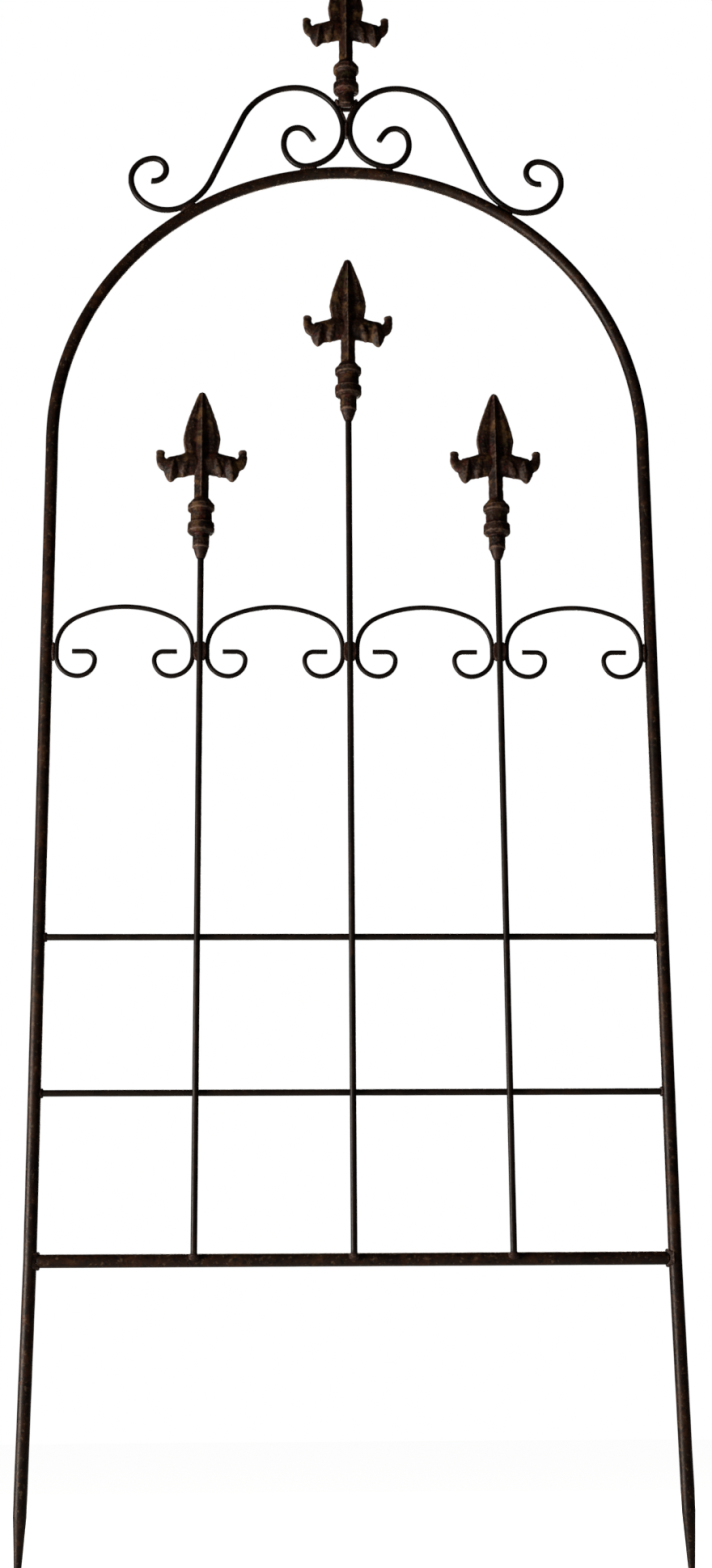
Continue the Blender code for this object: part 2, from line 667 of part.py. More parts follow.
def build_crest(hoop_clear, casting):
    """The two S-scrolls on top of the arch, their welds and the top finial."""
    crest = CrestScroll()
    right = crest.path()
    clears = []
    for side, way in (("left", -1), ("right", 1)):
        points = [Vector((way * p.x, 0.0, p.y)) for p in right]
        round_bar(f"{side}_crest_scroll", points, CREST_WIRE, ROD_SIDES, WIRE_STEEL)
        clear = clearance(f"{side}_crest_clearance", points, CREST_WIRE, ROD_SIDES)
        clears.append(clear)
        for place, contact in (("inner", crest.lobe_contact), ("outer", crest.foot_contact)):
            out = (contact - ARCH_CENTRE).normalized()
            spot = contact - out * (CREST_WIRE + CREST_ARCH_GAP) / 2
            lean = way * math.atan2(out.x, out.y) + math.pi / 2
            bead(f"{side}_crest_{place}_weld", (way * spot.x, 0.0, spot.y),
                 (CREST_ARCH_GAP / 2 + CREST_WELD_CAP, CREST_ARCH_WELD_DEPTH / 2, CREST_ARCH_WELD_LENGTH / 2),
                 [hoop_clear, clear], lean=lean, straight=BEAD_BARREL)
    bead("crest_centre_weld", (0.0, 0.0, crest.lobe.y),
         (CREST_PAIR_GAP / 2 + CREST_WELD_CAP, CREST_PAIR_WELD_DEPTH / 2, CREST_PAIR_WELD_LENGTH / 2),
         clears, straight=BEAD_BARREL)

    rest = nested_height(crest)
    place_finial("top_finial", casting, 0.0, 0.0, rest)
    grown = [(radius + SEAT_GAP, height) for radius, height in reversed(cup_profile())]
    top, bottom = grown[0][1], -SEAT_GAP
    cup_clear = turned("cup_clearance", [(0.0, top)] + grown + [(grown[-1][0], bottom), (0.0, bottom)],
                       TURNED_STEPS, CAST_IRON, CUTTERS)
    cup_clear.location = (0.0, 0.0, rest)
    for side, way in (("front", -1), ("back", 1)):
        bead(f"top_finial_weld_{side}", (0.0, way * TOP_WELD_OFFSET, rest + TOP_WELD_RISE),
             (TOP_WELD_WIDTH / 2, TOP_WELD_DEPTH / 2, TOP_WELD_HEIGHT / 2), clears + [cup_clear])


def main():
    """Build every piece of the trellis."""
    casting = cast_finial_mesh()
    hoop_clear, rail_clear = build_frame()
    upright_clears = build_uprights(rail_clear, casting)
    build_scrolls(hoop_clear, upright_clears)
    build_crest(hoop_clear, casting)


main()
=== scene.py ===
"""Dressed model of an arched garden trellis: hot-rolled bar, drawn wire, weld beads and cast spear finials.

Metres, +Z up. The trellis stands in the X-Z plane and is seen from -Y.
"""

import logging
from dataclasses import dataclass, field
from enum import Enum
from math import asin, atan2, copysign, cos, degrees, exp, pi, radians, sin, sqrt
from typing import Callable, Iterable

import bmesh
import bpy
import numpy as np
from bmesh.types import BMEdge, BMFace, BMesh, BMVert
from bpy.types import Material, Mesh, Node, NodeSocket, NodeTree, Object, World
from mathutils import Matrix, Vector, noise

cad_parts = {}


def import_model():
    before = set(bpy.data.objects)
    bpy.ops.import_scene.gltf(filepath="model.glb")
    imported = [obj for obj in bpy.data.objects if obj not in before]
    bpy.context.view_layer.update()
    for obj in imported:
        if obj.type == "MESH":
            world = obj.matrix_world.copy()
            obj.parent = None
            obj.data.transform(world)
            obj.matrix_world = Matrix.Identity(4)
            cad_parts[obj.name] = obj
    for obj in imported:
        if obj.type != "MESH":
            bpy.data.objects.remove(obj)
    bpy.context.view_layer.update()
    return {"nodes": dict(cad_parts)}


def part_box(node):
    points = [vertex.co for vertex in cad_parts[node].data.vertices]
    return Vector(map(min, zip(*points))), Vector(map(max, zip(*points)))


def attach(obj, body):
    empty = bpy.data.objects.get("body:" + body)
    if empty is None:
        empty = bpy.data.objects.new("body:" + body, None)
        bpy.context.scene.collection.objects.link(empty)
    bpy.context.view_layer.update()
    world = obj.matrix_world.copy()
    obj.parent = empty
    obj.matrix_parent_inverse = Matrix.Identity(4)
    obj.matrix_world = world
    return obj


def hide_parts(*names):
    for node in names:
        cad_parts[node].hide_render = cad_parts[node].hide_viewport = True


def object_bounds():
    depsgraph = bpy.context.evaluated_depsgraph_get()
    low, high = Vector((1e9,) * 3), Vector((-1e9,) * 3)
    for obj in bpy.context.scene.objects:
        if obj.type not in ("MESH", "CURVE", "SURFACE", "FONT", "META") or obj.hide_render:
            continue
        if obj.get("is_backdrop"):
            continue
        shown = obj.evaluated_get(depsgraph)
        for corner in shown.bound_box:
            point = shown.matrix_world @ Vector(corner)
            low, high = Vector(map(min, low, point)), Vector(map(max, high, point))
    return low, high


LOG = logging.getLogger("trellis")
BODY = "root"
MM = 0.001
MERGE_WITHIN = 0.000001
SHARP_DEGREES = 40
FULL_TURN = 2 * pi

Pair = tuple[float, float]
Triple = tuple[float, float, float]


class Slot(Enum):
    """The finishes of the record."""

    BAR = "bar_steel"
    WIRE = "wire_steel"
    CAST = "cast_iron"
    WELD = "weld_metal"


def srgb(code: str) -> tuple[float, float, float, float]:
    """Turn an sRGB hex colour to linear.

    Args:
        code: six hex digits after a hash sign.

    Returns:
        Red, green, blue and an alpha of 1.
    """
    parts = [int(code[i:i + 2], 16) / 255 for i in (1, 3, 5)]
    linear = [c / 12.92 if c <= 0.04045 else ((c + 0.055) / 1.055) ** 2.4 for c in parts]
    return (*linear, 1.0)


def add_node(tree: NodeTree, kind: str, inputs: dict[str | int, object] | None = None,
             **settings: object) -> Node:
    """Add a node with its settings, values and links.

    Args:
        tree: the node tree that takes it.
        kind: the node's Blender type, without ShaderNode.
        inputs: a value, or a socket to link from, for each named or numbered input.
        settings: properties of the node itself.

    Returns:
        The new node.
    """
    node = tree.nodes.new(f"ShaderNode{kind}")
    for key, value in settings.items():
        setattr(node, key, value)
    for key, value in (inputs or {}).items():
        if isinstance(value, NodeSocket):
            tree.links.new(value, node.inputs[key])
        else:
            node.inputs[key].default_value = value
    return node


def empty_tree(owner: Material | World) -> NodeTree:
    """Clear the nodes of a new material or world.

    Args:
        owner: the material or world.

    Returns:
        Its node tree, with nothing in it.
    """
    owner.use_nodes = True
    owner.node_tree.nodes.clear()
    return owner.node_tree


# Finishes

# Millimetres that a raised place stands out or a hollow lies in, where its tint starts and where it is full;
# the tint on raised places is partly wear and partly a painted highlight
RIDGE_WEAR_HIGHLIGHT_SHOWS = (0.14, 0.66)
HOLLOW_SHOWS = (-0.08, -0.50)


@dataclass(frozen=True)
class Patch:
    """A tint and roughness that show where a cloudy noise passes from low to high."""

    colour: str
    size_mm: float
    low: float
    high: float
    cover: float
    roughness: float


@dataclass(frozen=True)
class MetalFinish:
    """Weathered ferrous metal: a dark base, patches of rust and dust, a grain and pits.

    Real grains and pits are some tenths of a millimetre wide, too fine to show, so they are drawn coarser.
    """

    name: str
    slot: Slot
    base: str
    patches: tuple[Patch, ...]
    roughness: float
    metallic: float
    grain_mm: float = 0.9
    grain_depth_mm: float = 0.08
    pit_mm: float = 2.4
    pit_depth_mm: float = 0.05
    pit_reach: float = 0.45
    cloud_step: float = 3.7
    specular: float = 0.3
    heat: str = "#38120b"
    # Tint on raised places: partly rubbed wear, partly a painted highlight
    ridge_wear_highlight: str = "#6a5850"
    ridge_wear_highlight_cover: float = 0.0
    hollow: str = "#160504"
    hollow_cover: float = 0.0

    def build(self) -> Material:
        """Make the material.

        Returns:
            A node material on object coordinates and the marks "heat" and "cavity".
        """
        material = bpy.data.materials.new(self.name)
        tree = empty_tree(material)
        place = add_node(tree, "TexCoord").outputs["Object"]
        roughness = self.roughness
        coats = []
        for index, patch in enumerate(self.patches):
            cloud = add_node(tree, "TexNoise", {
                "Vector": place, "W": self.cloud_step * index, "Scale": 1 / (patch.size_mm * MM),
                "Detail": 5.0, "Roughness": 0.62}, noise_dimensions="4D")
            mask = add_node(tree, "MapRange", {
                "Value": cloud.outputs["Fac"], "From Min": patch.low, "From Max": patch.high,
                "To Max": patch.cover}).outputs["Result"]
            roughness = add_node(tree, "Mix", {
                "Factor": mask, "A": roughness, "B": patch.roughness}).outputs["Result"]
            coats.append((mask, patch.colour))
        heat, cavity = (add_node(tree, "Attribute", attribute_name=mark).outputs["Fac"]
                        for mark in ("heat", "cavity"))
        coats.append((heat, self.heat))
        # Raised places take a tint that is partly wear and partly a painted highlight; hollows take their
        # own tint
        for (low, high), cover, code in ((RIDGE_WEAR_HIGHLIGHT_SHOWS, self.ridge_wear_highlight_cover, self.ridge_wear_highlight),
                                         (HOLLOW_SHOWS, self.hollow_cover, self.hollow)):
            mask = add_node(tree, "MapRange", {
                "Value": cavity, "From Min": low, "From Max": high, "To Max": cover}).outputs["Result"]
            coats.append((mask, code))
        tint = srgb(self.base)
        for mask, code in coats:
            coat = add_node(tree, "Mix", {0: mask, 6: tint, 7: srgb(code)}, data_type="RGBA")
            tint = coat.outputs[2]
        shader = add_node(tree, "BsdfPrincipled", {
            "Base Color": tint, "Roughness": roughness, "Metallic": self.metallic,
            "Specular IOR Level": self.specular, "Normal": self.relief(tree, place)})
        add_node(tree, "OutputMaterial", {"Surface": shader.outputs["BSDF"]})
        return material

    def relief(self, tree: NodeTree, place: NodeSocket) -> NodeSocket:
        """Grain and pits as one bumped normal.

        Args:
            tree: the material's nodes.
            place: object coordinates.

        Returns:
            The normal.
        """
        pits = add_node(tree, "TexVoronoi", {"Vector": place, "Scale": 1 / (self.pit_mm * MM)})
        floor = add_node(tree, "MapRange", {
            "Value": pits.outputs["Distance"], "From Max": self.pit_reach}).outputs["Result"]
        deep = add_node(tree, "Bump", {"Height": floor, "Distance": self.pit_depth_mm * MM})
        grain = add_node(tree, "TexNoise", {
            "Vector": place, "Scale": 1 / (self.grain_mm * MM), "Detail": 6.0, "Roughness": 0.65})
        fine = add_node(tree, "Bump", {
            "Height": grain.outputs["Fac"], "Distance": self.grain_depth_mm * MM,
            "Normal": deep.outputs["Normal"]})
        return fine.outputs["Normal"]


# Hot-rolled mild steel bar, bent cold: blue-black mill scale under a thin film of brown rust, satin
HOT_ROLLED_BAR = MetalFinish(
    name="hot_rolled_bar", slot=Slot.BAR, base="#2c1a10", roughness=0.42, metallic=0.20,
    patches=(
        Patch("#120906", 46.0, 0.46, 0.60, 0.80, 0.38),
        Patch("#4c290f", 21.0, 0.53, 0.67, 0.80, 0.58),
        Patch("#3f3926", 63.0, 0.58, 0.72, 0.45, 0.54),
        Patch("#0c0504", 5.0, 0.51, 0.60, 0.85, 0.50),
        Patch("#6a5440", 4.0, 0.57, 0.66, 0.70, 0.60),
        Patch("#4a180b", 3.4, 0.58, 0.68, 0.65, 0.70)),
    grain_mm=1.1, grain_depth_mm=0.10, pit_mm=3.0, pit_depth_mm=0.06)

# Drawn mild steel rod: an almost black film of drawing soap and oil, with few specks of rust, satin
DRAWN_ROD = MetalFinish(
    name="drawn_rod", slot=Slot.BAR, base="#20150e", roughness=0.44, metallic=0.20,
    patches=(
        Patch("#0c0706", 34.0, 0.46, 0.60, 0.80, 0.40),
        Patch("#3a2212", 18.0, 0.56, 0.70, 0.70, 0.58),
        Patch("#4a3a2c", 4.2, 0.62, 0.72, 0.50, 0.60),
        Patch("#3c140a", 3.2, 0.60, 0.70, 0.55, 0.70)))

# Drawn steel wire, scrolled hot over a former: near-black fire scale with little rust, satin
SCROLLED_WIRE = MetalFinish(
    name="scrolled_wire", slot=Slot.WIRE, base="#1b120d", roughness=0.42, metallic=0.20,
    patches=(
        Patch("#0c0908", 30.0, 0.45, 0.60, 0.80, 0.36),
        Patch("#2e1f17", 16.0, 0.55, 0.70, 0.65, 0.58),
        Patch("#3c3027", 7.0, 0.62, 0.74, 0.40, 0.62)))

# Grey iron cast in sand: a grainy skin, rust red in the flutes, rubbed grey-brown on the ribs, with the ribs
# also lightened as a painted highlight
SAND_CAST_IRON = MetalFinish(
    name="sand_cast_iron", slot=Slot.CAST, base="#2b160a", roughness=0.54, metallic=0.10,
    patches=(
        Patch("#0e0402", 13.0, 0.46, 0.58, 0.90, 0.48),
        Patch("#4a0f06", 8.0, 0.56, 0.65, 0.75, 0.66),
        Patch("#6a4a26", 12.0, 0.53, 0.65, 0.80, 0.64),
        Patch("#6c5248", 4.0, 0.59, 0.68, 0.50, 0.60),
        Patch("#4c4524", 16.0, 0.59, 0.68, 0.65, 0.62)),
    grain_mm=0.8, grain_depth_mm=0.16, pit_mm=2.2, pit_depth_mm=0.10,
    ridge_wear_highlight="#927464", ridge_wear_highlight_cover=0.72, hollow="#3a0a05", hollow_cover=0.80)

# Rod weld laid by hand and left bare: rippled, red-brown rust, dull; its ripples' crests are lightened as a
# painted highlight and their hollows darkened
BARE_WELD = MetalFinish(
    name="bare_weld", slot=Slot.WELD, base="#38221a", roughness=0.54, metallic=0.15,
    patches=(
        Patch("#170a07", 5.0, 0.45, 0.60, 0.75, 0.50),
        Patch("#6a574b", 4.0, 0.55, 0.67, 0.70, 0.50),
        Patch("#5a200e", 2.6, 0.58, 0.68, 0.60, 0.70)),
    grain_mm=0.6, grain_depth_mm=0.12, pit_mm=1.8, pit_depth_mm=0.08,
    ridge_wear_highlight="#6d5650", ridge_wear_highlight_cover=0.60, hollow="#180605", hollow_cover=0.70)


@dataclass(frozen=True)
class Skin:
    """How uneven a surface is: noise of a size, and its depth from the highest places to the lowest."""

    size_mm: float
    depth_mm: float
    seed: float = 0.0

    def roughen(self, verts: Iterable[BMVert]) -> None:
        """Move each vertex in or out along its normal.

        Args:
            verts: the vertices, with fresh normals.
        """
        for vert in verts:
            spot = vert.co / (self.size_mm * MM) + Vector((self.seed, 0.0, -self.seed))
            vert.co += vert.normal * noise.noise(spot) / 2 * self.depth_mm * MM


BAR_SKINS = (Skin(19.0, 0.22), Skin(4.5, 0.10, 4.1))
CAST_SKINS = (Skin(7.0, 0.60), Skin(2.6, 0.60, 7.7))


# Bench work

def extruded(bm: BMesh, face: BMFace) -> tuple[list[BMVert], BMFace]:
    """Extrude a face on the spot.

    Args:
        bm: its mesh.
        face: the face at the end of a shape.

    Returns:
        The vertices of the new end, and its face.
    """
    made = bmesh.ops.extrude_face_region(bm, geom=[face])["geom"]
    ring = [part for part in made if isinstance(part, BMVert)]
    return ring, next(part for part in made if isinstance(part, BMFace))


def lathe(bm: BMesh, outline: list[BMVert | BMEdge], steps: int) -> None:
    """Spin an outline right round the Z axis."""
    bmesh.ops.spin(
        bm, geom=outline, cent=(0, 0, 0), axis=(0, 0, 1), angle=FULL_TURN, steps=steps, use_merge=True)


def edges_of(verts: list[BMVert]) -> list[BMEdge]:
    """The edges at some vertices, each once and always in the same order."""
    return list(dict.fromkeys(edge for vert in verts for edge in vert.link_edges))


def ease_edges(bm: BMesh, edges: list[BMEdge], width: float) -> None:
    """Round edges over a width."""
    bmesh.ops.bevel(bm, geom=edges, offset=width, affect="EDGES", segments=2, profile=0.5, material=-1)


def close_up(bm: BMesh) -> None:
    """Merge doubles, then turn the faces out."""
    bmesh.ops.remove_doubles(bm, verts=bm.verts, dist=MERGE_WITHIN)
    bmesh.ops.recalc_face_normals(bm, faces=bm.faces)


def put_in_order(bm: BMesh) -> None:
    """Sort edges and faces by their corners, since bmesh keeps them in another order on each run."""
    bm.verts.index_update()
    count = len(bm.verts)

    def rank(part: BMEdge | BMFace) -> int:
        """A number of its own for each edge or face, from its three lowest corners."""
        number = 0
        for corner in sorted(vert.index for vert in part.verts)[:3]:
            number = number * count + corner
        return number

    bm.edges.sort(key=rank)
    bm.faces.sort(key=rank)


def placed(name: str, bm: BMesh) -> Object:
    """Turn a bmesh to an object of the scene.

    Args:
        name: the object's name and its mesh's.
        bm: the bmesh, which is freed.

    Returns:
        The object, at the origin.
    """
    put_in_order(bm)
    mesh = bpy.data.meshes.new(name)
    bm.to_mesh(mesh)
    bm.free()
    piece = bpy.data.objects.new(name, mesh)
    bpy.context.scene.collection.objects.link(piece)
    return piece


def keep_within(bm: BMesh, node: str) -> None:
    """Press a mesh back into the box of the CAD node that it stands for.

    Args:
        bm: the mesh, changed in place.
        node: the node.
    """
    low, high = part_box(node)
    for vert in bm.verts:
        vert.co = [min(max(value, a), b) for value, a, b in zip(vert.co, low, high)]


def mark_cavity(mesh: Mesh, rounds: int) -> None:
    """Store how far each vertex stands out of the smoothed surface, in millimetres.

    Args:
        mesh: the mesh to mark, in place.
        rounds: how many times the surface is smoothed.
    """
    count = len(mesh.vertices)
    places = np.empty(count * 3, dtype=np.float32)
    mesh.vertices.foreach_get("co", places)
    places = places.reshape(-1, 3)
    normals = np.empty(count * 3, dtype=np.float32)
    mesh.vertices.foreach_get("normal", normals)
    edges = np.empty(len(mesh.edges) * 2, dtype=np.int32)
    mesh.edges.foreach_get("vertices", edges)
    one, two = edges.reshape(-1, 2).T
    ends = np.concatenate([one, two])
    others = np.concatenate([two, one])
    neighbours = np.maximum(np.bincount(ends, minlength=count), 1)[:, None]
    smooth = places.copy()
    for _ in range(rounds):
        total = np.stack([np.bincount(ends, smooth[others, axis], count) for axis in range(3)], axis=1)
        smooth = (smooth + total / neighbours) / 2
    stands = ((places - smooth) * normals.reshape(-1, 3)).sum(axis=1) / MM
    mesh.attributes.new("cavity", "FLOAT", "POINT").data.foreach_set("value", stands.astype(np.float32))


class Workshop:
    """Dresses finished meshes and lets them stand for their CAD nodes."""

    def __init__(self) -> None:
        """Make the finishes, and a list for the places and reaches of the welds' heat."""
        finishes = (HOT_ROLLED_BAR, DRAWN_ROD, SCROLLED_WIRE, SAND_CAST_IRON, BARE_WELD)
        self.materials = {finish.name: finish.build() for finish in finishes}
        self.hot_spots: list[tuple[Vector, float]] = []

    def mark_heat(self, bm: BMesh) -> None:
        """Store how near each vertex is to a weld, from 0 to 1.

        Args:
            bm: the mesh to mark, in place.
        """
        layer = bm.verts.layers.float.new("heat")
        for vert in bm.verts:
            nearest = [exp(-((vert.co - spot).length / reach) ** 2) for spot, reach in self.hot_spots]
            vert[layer] = max(nearest, default=0.0)

    def deliver(self, name: str, bm: BMesh, finish: MetalFinish, node: str = "", cavity_rounds: int = 0,
                heated: bool = False) -> None:
        """Make an object of a bmesh, dress it and let it stand for its CAD node.

        Args:
            name: the piece's name.
            bm: its mesh in the shared frame, which is freed.
            finish: its finish, which names the slot.
            node: the CAD node that it replaces, if any.
            cavity_rounds: how far ridges and hollows are smoothed before they are marked.
            heated: whether welds mark it.
        """
        if node:
            keep_within(bm, node)
        if heated:
            self.mark_heat(bm)
        piece = placed(name, bm)
        mesh = piece.data
        if cavity_rounds:
            mark_cavity(mesh, cavity_rounds)
        mesh.shade_smooth()
        mesh.set_sharp_from_angle(angle=radians(SHARP_DEGREES))
        mesh.materials.append(self.materials[finish.name])
        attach(piece, BODY)
        if node:
            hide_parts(node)
        LOG.info("%s: %d faces", name, len(mesh.polygons))


# Bars and wires

@dataclass(frozen=True)
class Run:
    """A straight stretch of bar, narrowed at its end to a share of the diameter."""

    length: float
    narrow_to: float = 1.0


@dataclass(frozen=True)
class Bend:
    """An arc of bar, anticlockwise where degrees is positive."""

    radius: float
    degrees: float


Moves = list[Run | Bend]


def ahead(heading: float) -> Vector:
    """The unit vector of a heading in the X-Z plane."""
    return Vector((cos(radians(heading)), 0.0, sin(radians(heading))))


def walk(point: Vector, heading: float, moves: Moves) -> tuple[Vector, float]:
    """Follow moves in the X-Z plane.

    Args:
        point: where they start.
        heading: degrees from +X towards +Z.
        moves: the runs and bends.

    Returns:
        Where they end, and the heading there.
    """
    place = Vector(point)
    for move in moves:
        if isinstance(move, Run):
            place = place + move.length * ahead(heading)
            continue
        radius = copysign(move.radius, move.degrees)
        place = place + radius * ahead(heading + 90)
        heading += move.degrees
        place = place - radius * ahead(heading + 90)
    return place, heading


@dataclass
class RoundBar:
    """A round bar, swept from a disc along its moves, with rings a gap apart and closer in tight bends."""

    diameter: float
    sides: int = 24
    ring_gap: float = 0.006
    ring_degrees: float = 6.0
    end_rounding: float = 0.0005
    bm: BMesh = field(default_factory=bmesh.new)
    place: Vector = field(default_factory=Vector)
    heading: float = 0.0
    size: float = 1.0
    end: BMFace | None = None

    def sweep(self, start: Vector, heading: float, moves: Moves, first_size: float = 1.0) -> BMesh:
        """Make the bar.

        Args:
            start: the middle of its first end.
            heading: degrees from +X towards +Z.
            moves: its runs and bends.
            first_size: its first end's share of the diameter.

        Returns:
            Its closed mesh.
        """
        self.place, self.heading, self.size = Vector(start), heading, first_size
        turn = Matrix.Rotation(radians(90 - heading), 4, "Y")
        bmesh.ops.create_circle(
            self.bm, cap_ends=True, segments=self.sides, radius=self.diameter / 2 * first_size,
            matrix=Matrix.Translation(self.place) @ turn)
        self.bm.faces.ensure_lookup_table()
        first = self.end = self.bm.faces[0]
        for move in moves:
            if isinstance(move, Run):
                self.run(move)
            else:
                self.bend(move)
        rims = [edge for edge in self.bm.edges if edge in first.edges[:] or edge in self.end.edges[:]]
        bmesh.ops.recalc_face_normals(self.bm, faces=self.bm.faces)
        self.bm.normal_update()
        for skin in BAR_SKINS:
            skin.roughen(self.bm.verts)
        ease_edges(self.bm, rims, self.end_rounding)
        return self.bm

    def run(self, move: Run) -> None:
        """Extrude the end straight on.

        Args:
            move: the run.
        """
        steps = max(1, round(move.length / self.ring_gap))
        step = move.length / steps * ahead(self.heading)
        growth = (move.narrow_to - self.size) / steps
        for _ in range(steps):
            verts, self.end = extruded(self.bm, self.end)
            bmesh.ops.translate(self.bm, verts=verts, vec=step)
            self.place = self.place + step
            factor = 1 + growth / self.size
            self.size += growth
            bmesh.ops.scale(self.bm, verts=verts, vec=(factor,) * 3, space=Matrix.Translation(-self.place))

    def bend(self, move: Bend) -> None:
        """Spin the end round an arc.

        Args:
            move: the bend.
        """
        centre = self.place + copysign(move.radius, move.degrees) * ahead(self.heading + 90)
        arc = abs(radians(move.degrees)) * move.radius
        steps = max(2, round(arc / self.ring_gap), round(abs(move.degrees) / self.ring_degrees))
        made = bmesh.ops.spin(
            self.bm, geom=[self.end], cent=centre, axis=(0, -1, 0), angle=radians(move.degrees), steps=steps)
        self.end = next(part for part in made["geom_last"] if isinstance(part, BMFace))
        self.place, self.heading = walk(self.place, self.heading, [move])


@dataclass
class Layout:
    """Stock sizes, and the places that the frame gives for the bars, finials and arch."""

    hoop_rod: float = 0.0127
    rail_rod: float = 0.0127
    thin_rod: float = 0.00635
    scroll_wire: float = 0.0048
    crest_wire: float = 0.00635
    seat_gap: float = 0.0003
    socket_depth: float = 0.012
    uprights: tuple[str, ...] = ("left", "centre", "right")

    def __post_init__(self) -> None:
        """Read the levels and spacings from the CAD nodes."""
        low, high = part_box("arch_hoop")
        rod_low, rod_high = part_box("lower_cross_rod")
        self.stake_tip = low.z
        self.leg_x = rod_high.x + self.seat_gap + self.hoop_rod / 2
        self.spring_z = high.z - self.hoop_rod / 2 - self.leg_x
        self.rod_ends = (rod_low.x, rod_high.x)
        self.rail_z = self.middle("bottom_rail").z
        self.cross_z = {row: self.middle(f"{row}_cross_rod").z for row in ("lower", "upper")}
        self.upright_x = {side: self.middle(f"{side}_upright").x for side in self.uprights}
        self.upright_y = self.middle("left_upright").y
        self.upright_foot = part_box("left_upright")[0].z
        self.finial_lip = {side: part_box(f"{side}_finial")[0].z for side in (*self.uprights, "top")}

    @staticmethod
    def middle(node: str) -> Vector:
        """The middle of a CAD node's box."""
        low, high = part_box(node)
        return (low + high) / 2


@dataclass
class Group:
    """A sub-assembly: who dresses it, and the places that it keeps to."""

    shop: Workshop
    at: Layout


@dataclass
class Frame(Group):
    """The hoop, the bottom rail, the cross rods and the uprights."""

    splay: float = 0.75
    point_length: float = 0.085
    point_diameter: float = 0.0022
    kink_radius: float = 0.25

    def build(self) -> None:
        """Make every straight bar and the hoop."""
        at = self.at
        self.hoop()
        left, right = at.rod_ends
        self.straight("bottom_rail", (left, 0.0, at.rail_z), 0, right - left, at.rail_rod, HOT_ROLLED_BAR)
        for row, height in at.cross_z.items():
            self.straight(f"{row}_cross_rod", (left, 0.0, height), 0, right - left, at.thin_rod)
        for side in at.uprights:
            top = at.finial_lip[side] + at.socket_depth - at.seat_gap
            self.straight(f"{side}_upright", (at.upright_x[side], at.upright_y, at.upright_foot), 90,
                          top - at.upright_foot, at.thin_rod)

    def hoop(self) -> None:
        """Bend the hoop from one drawn stake over the arch to the other."""
        at = self.at
        slant = radians(self.splay)
        below = (at.rail_z - at.stake_tip) / cos(slant)
        foot = Vector((-at.leg_x - below * sin(slant), 0.0, at.stake_tip))
        kink = self.kink_radius * slant
        leg: Moves = [Run(below - self.point_length - kink), Bend(self.kink_radius, self.splay),
                      Run(at.spring_z - at.rail_z)]
        point = self.point_diameter / at.hoop_rod
        moves = [Run(self.point_length), *leg, Bend(at.leg_x, -180), *reversed(leg),
                 Run(self.point_length, point)]
        bar = RoundBar(at.hoop_rod, sides=32).sweep(foot, 90 - self.splay, moves, point)
        self.shop.deliver("arch_hoop_bar", bar, HOT_ROLLED_BAR, "arch_hoop", heated=True)

    def straight(self, node: str, start: Triple, heading: float, length: float, diameter: float,
                 finish: MetalFinish = DRAWN_ROD) -> None:
        """Make one straight bar in place of a CAD node."""
        bar = RoundBar(diameter).sweep(Vector(start), heading, [Run(length)])
        self.shop.deliver(f"{node}_bar", bar, finish, node, heated=True)


@dataclass
class BayScrolls(Group):
    """A C-scroll in each bay, from one curl over the crown to the other."""

    crown_radius: float = 0.109
    shoulder_radius: float = 0.0356
    side_run: float = 0.0084
    curl_radii: Triple = (0.0215, 0.0169, 0.0089)
    tail: float = 0.014

    def half(self, half_width: float) -> Moves:
        """The moves from the crown to the end of one curl.

        Args:
            half_width: from the scroll's middle to the centre line of its side.

        Returns:
            The moves.
        """
        across = half_width - self.shoulder_radius
        crown = degrees(asin(across / (self.crown_radius - self.shoulder_radius)))
        return [Bend(self.crown_radius, -crown), Bend(self.shoulder_radius, crown - 90), Run(self.side_run),
                *[Bend(radius, -90) for radius in self.curl_radii], Run(self.tail)]

    def build(self) -> None:
        """Make the four scrolls."""
        wire = self.at.scroll_wire
        for bay in range(1, 5):
            node = f"c_scroll_{bay}"
            low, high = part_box(node)
            half = self.half((high.x - low.x - wire) / 2)
            crown = Vector(((low.x + high.x) / 2, (low.y + high.y) / 2, high.z - wire / 2))
            end, heading = walk(crown, 0, half)
            start = Vector((2 * crown.x - end.x, end.y, end.z))
            bar = RoundBar(wire, sides=20, ring_gap=0.004).sweep(start, -heading, [*reversed(half), *half])
            self.shop.deliver(f"{node}_wire", bar, SCROLLED_WIRE, node, heated=True)


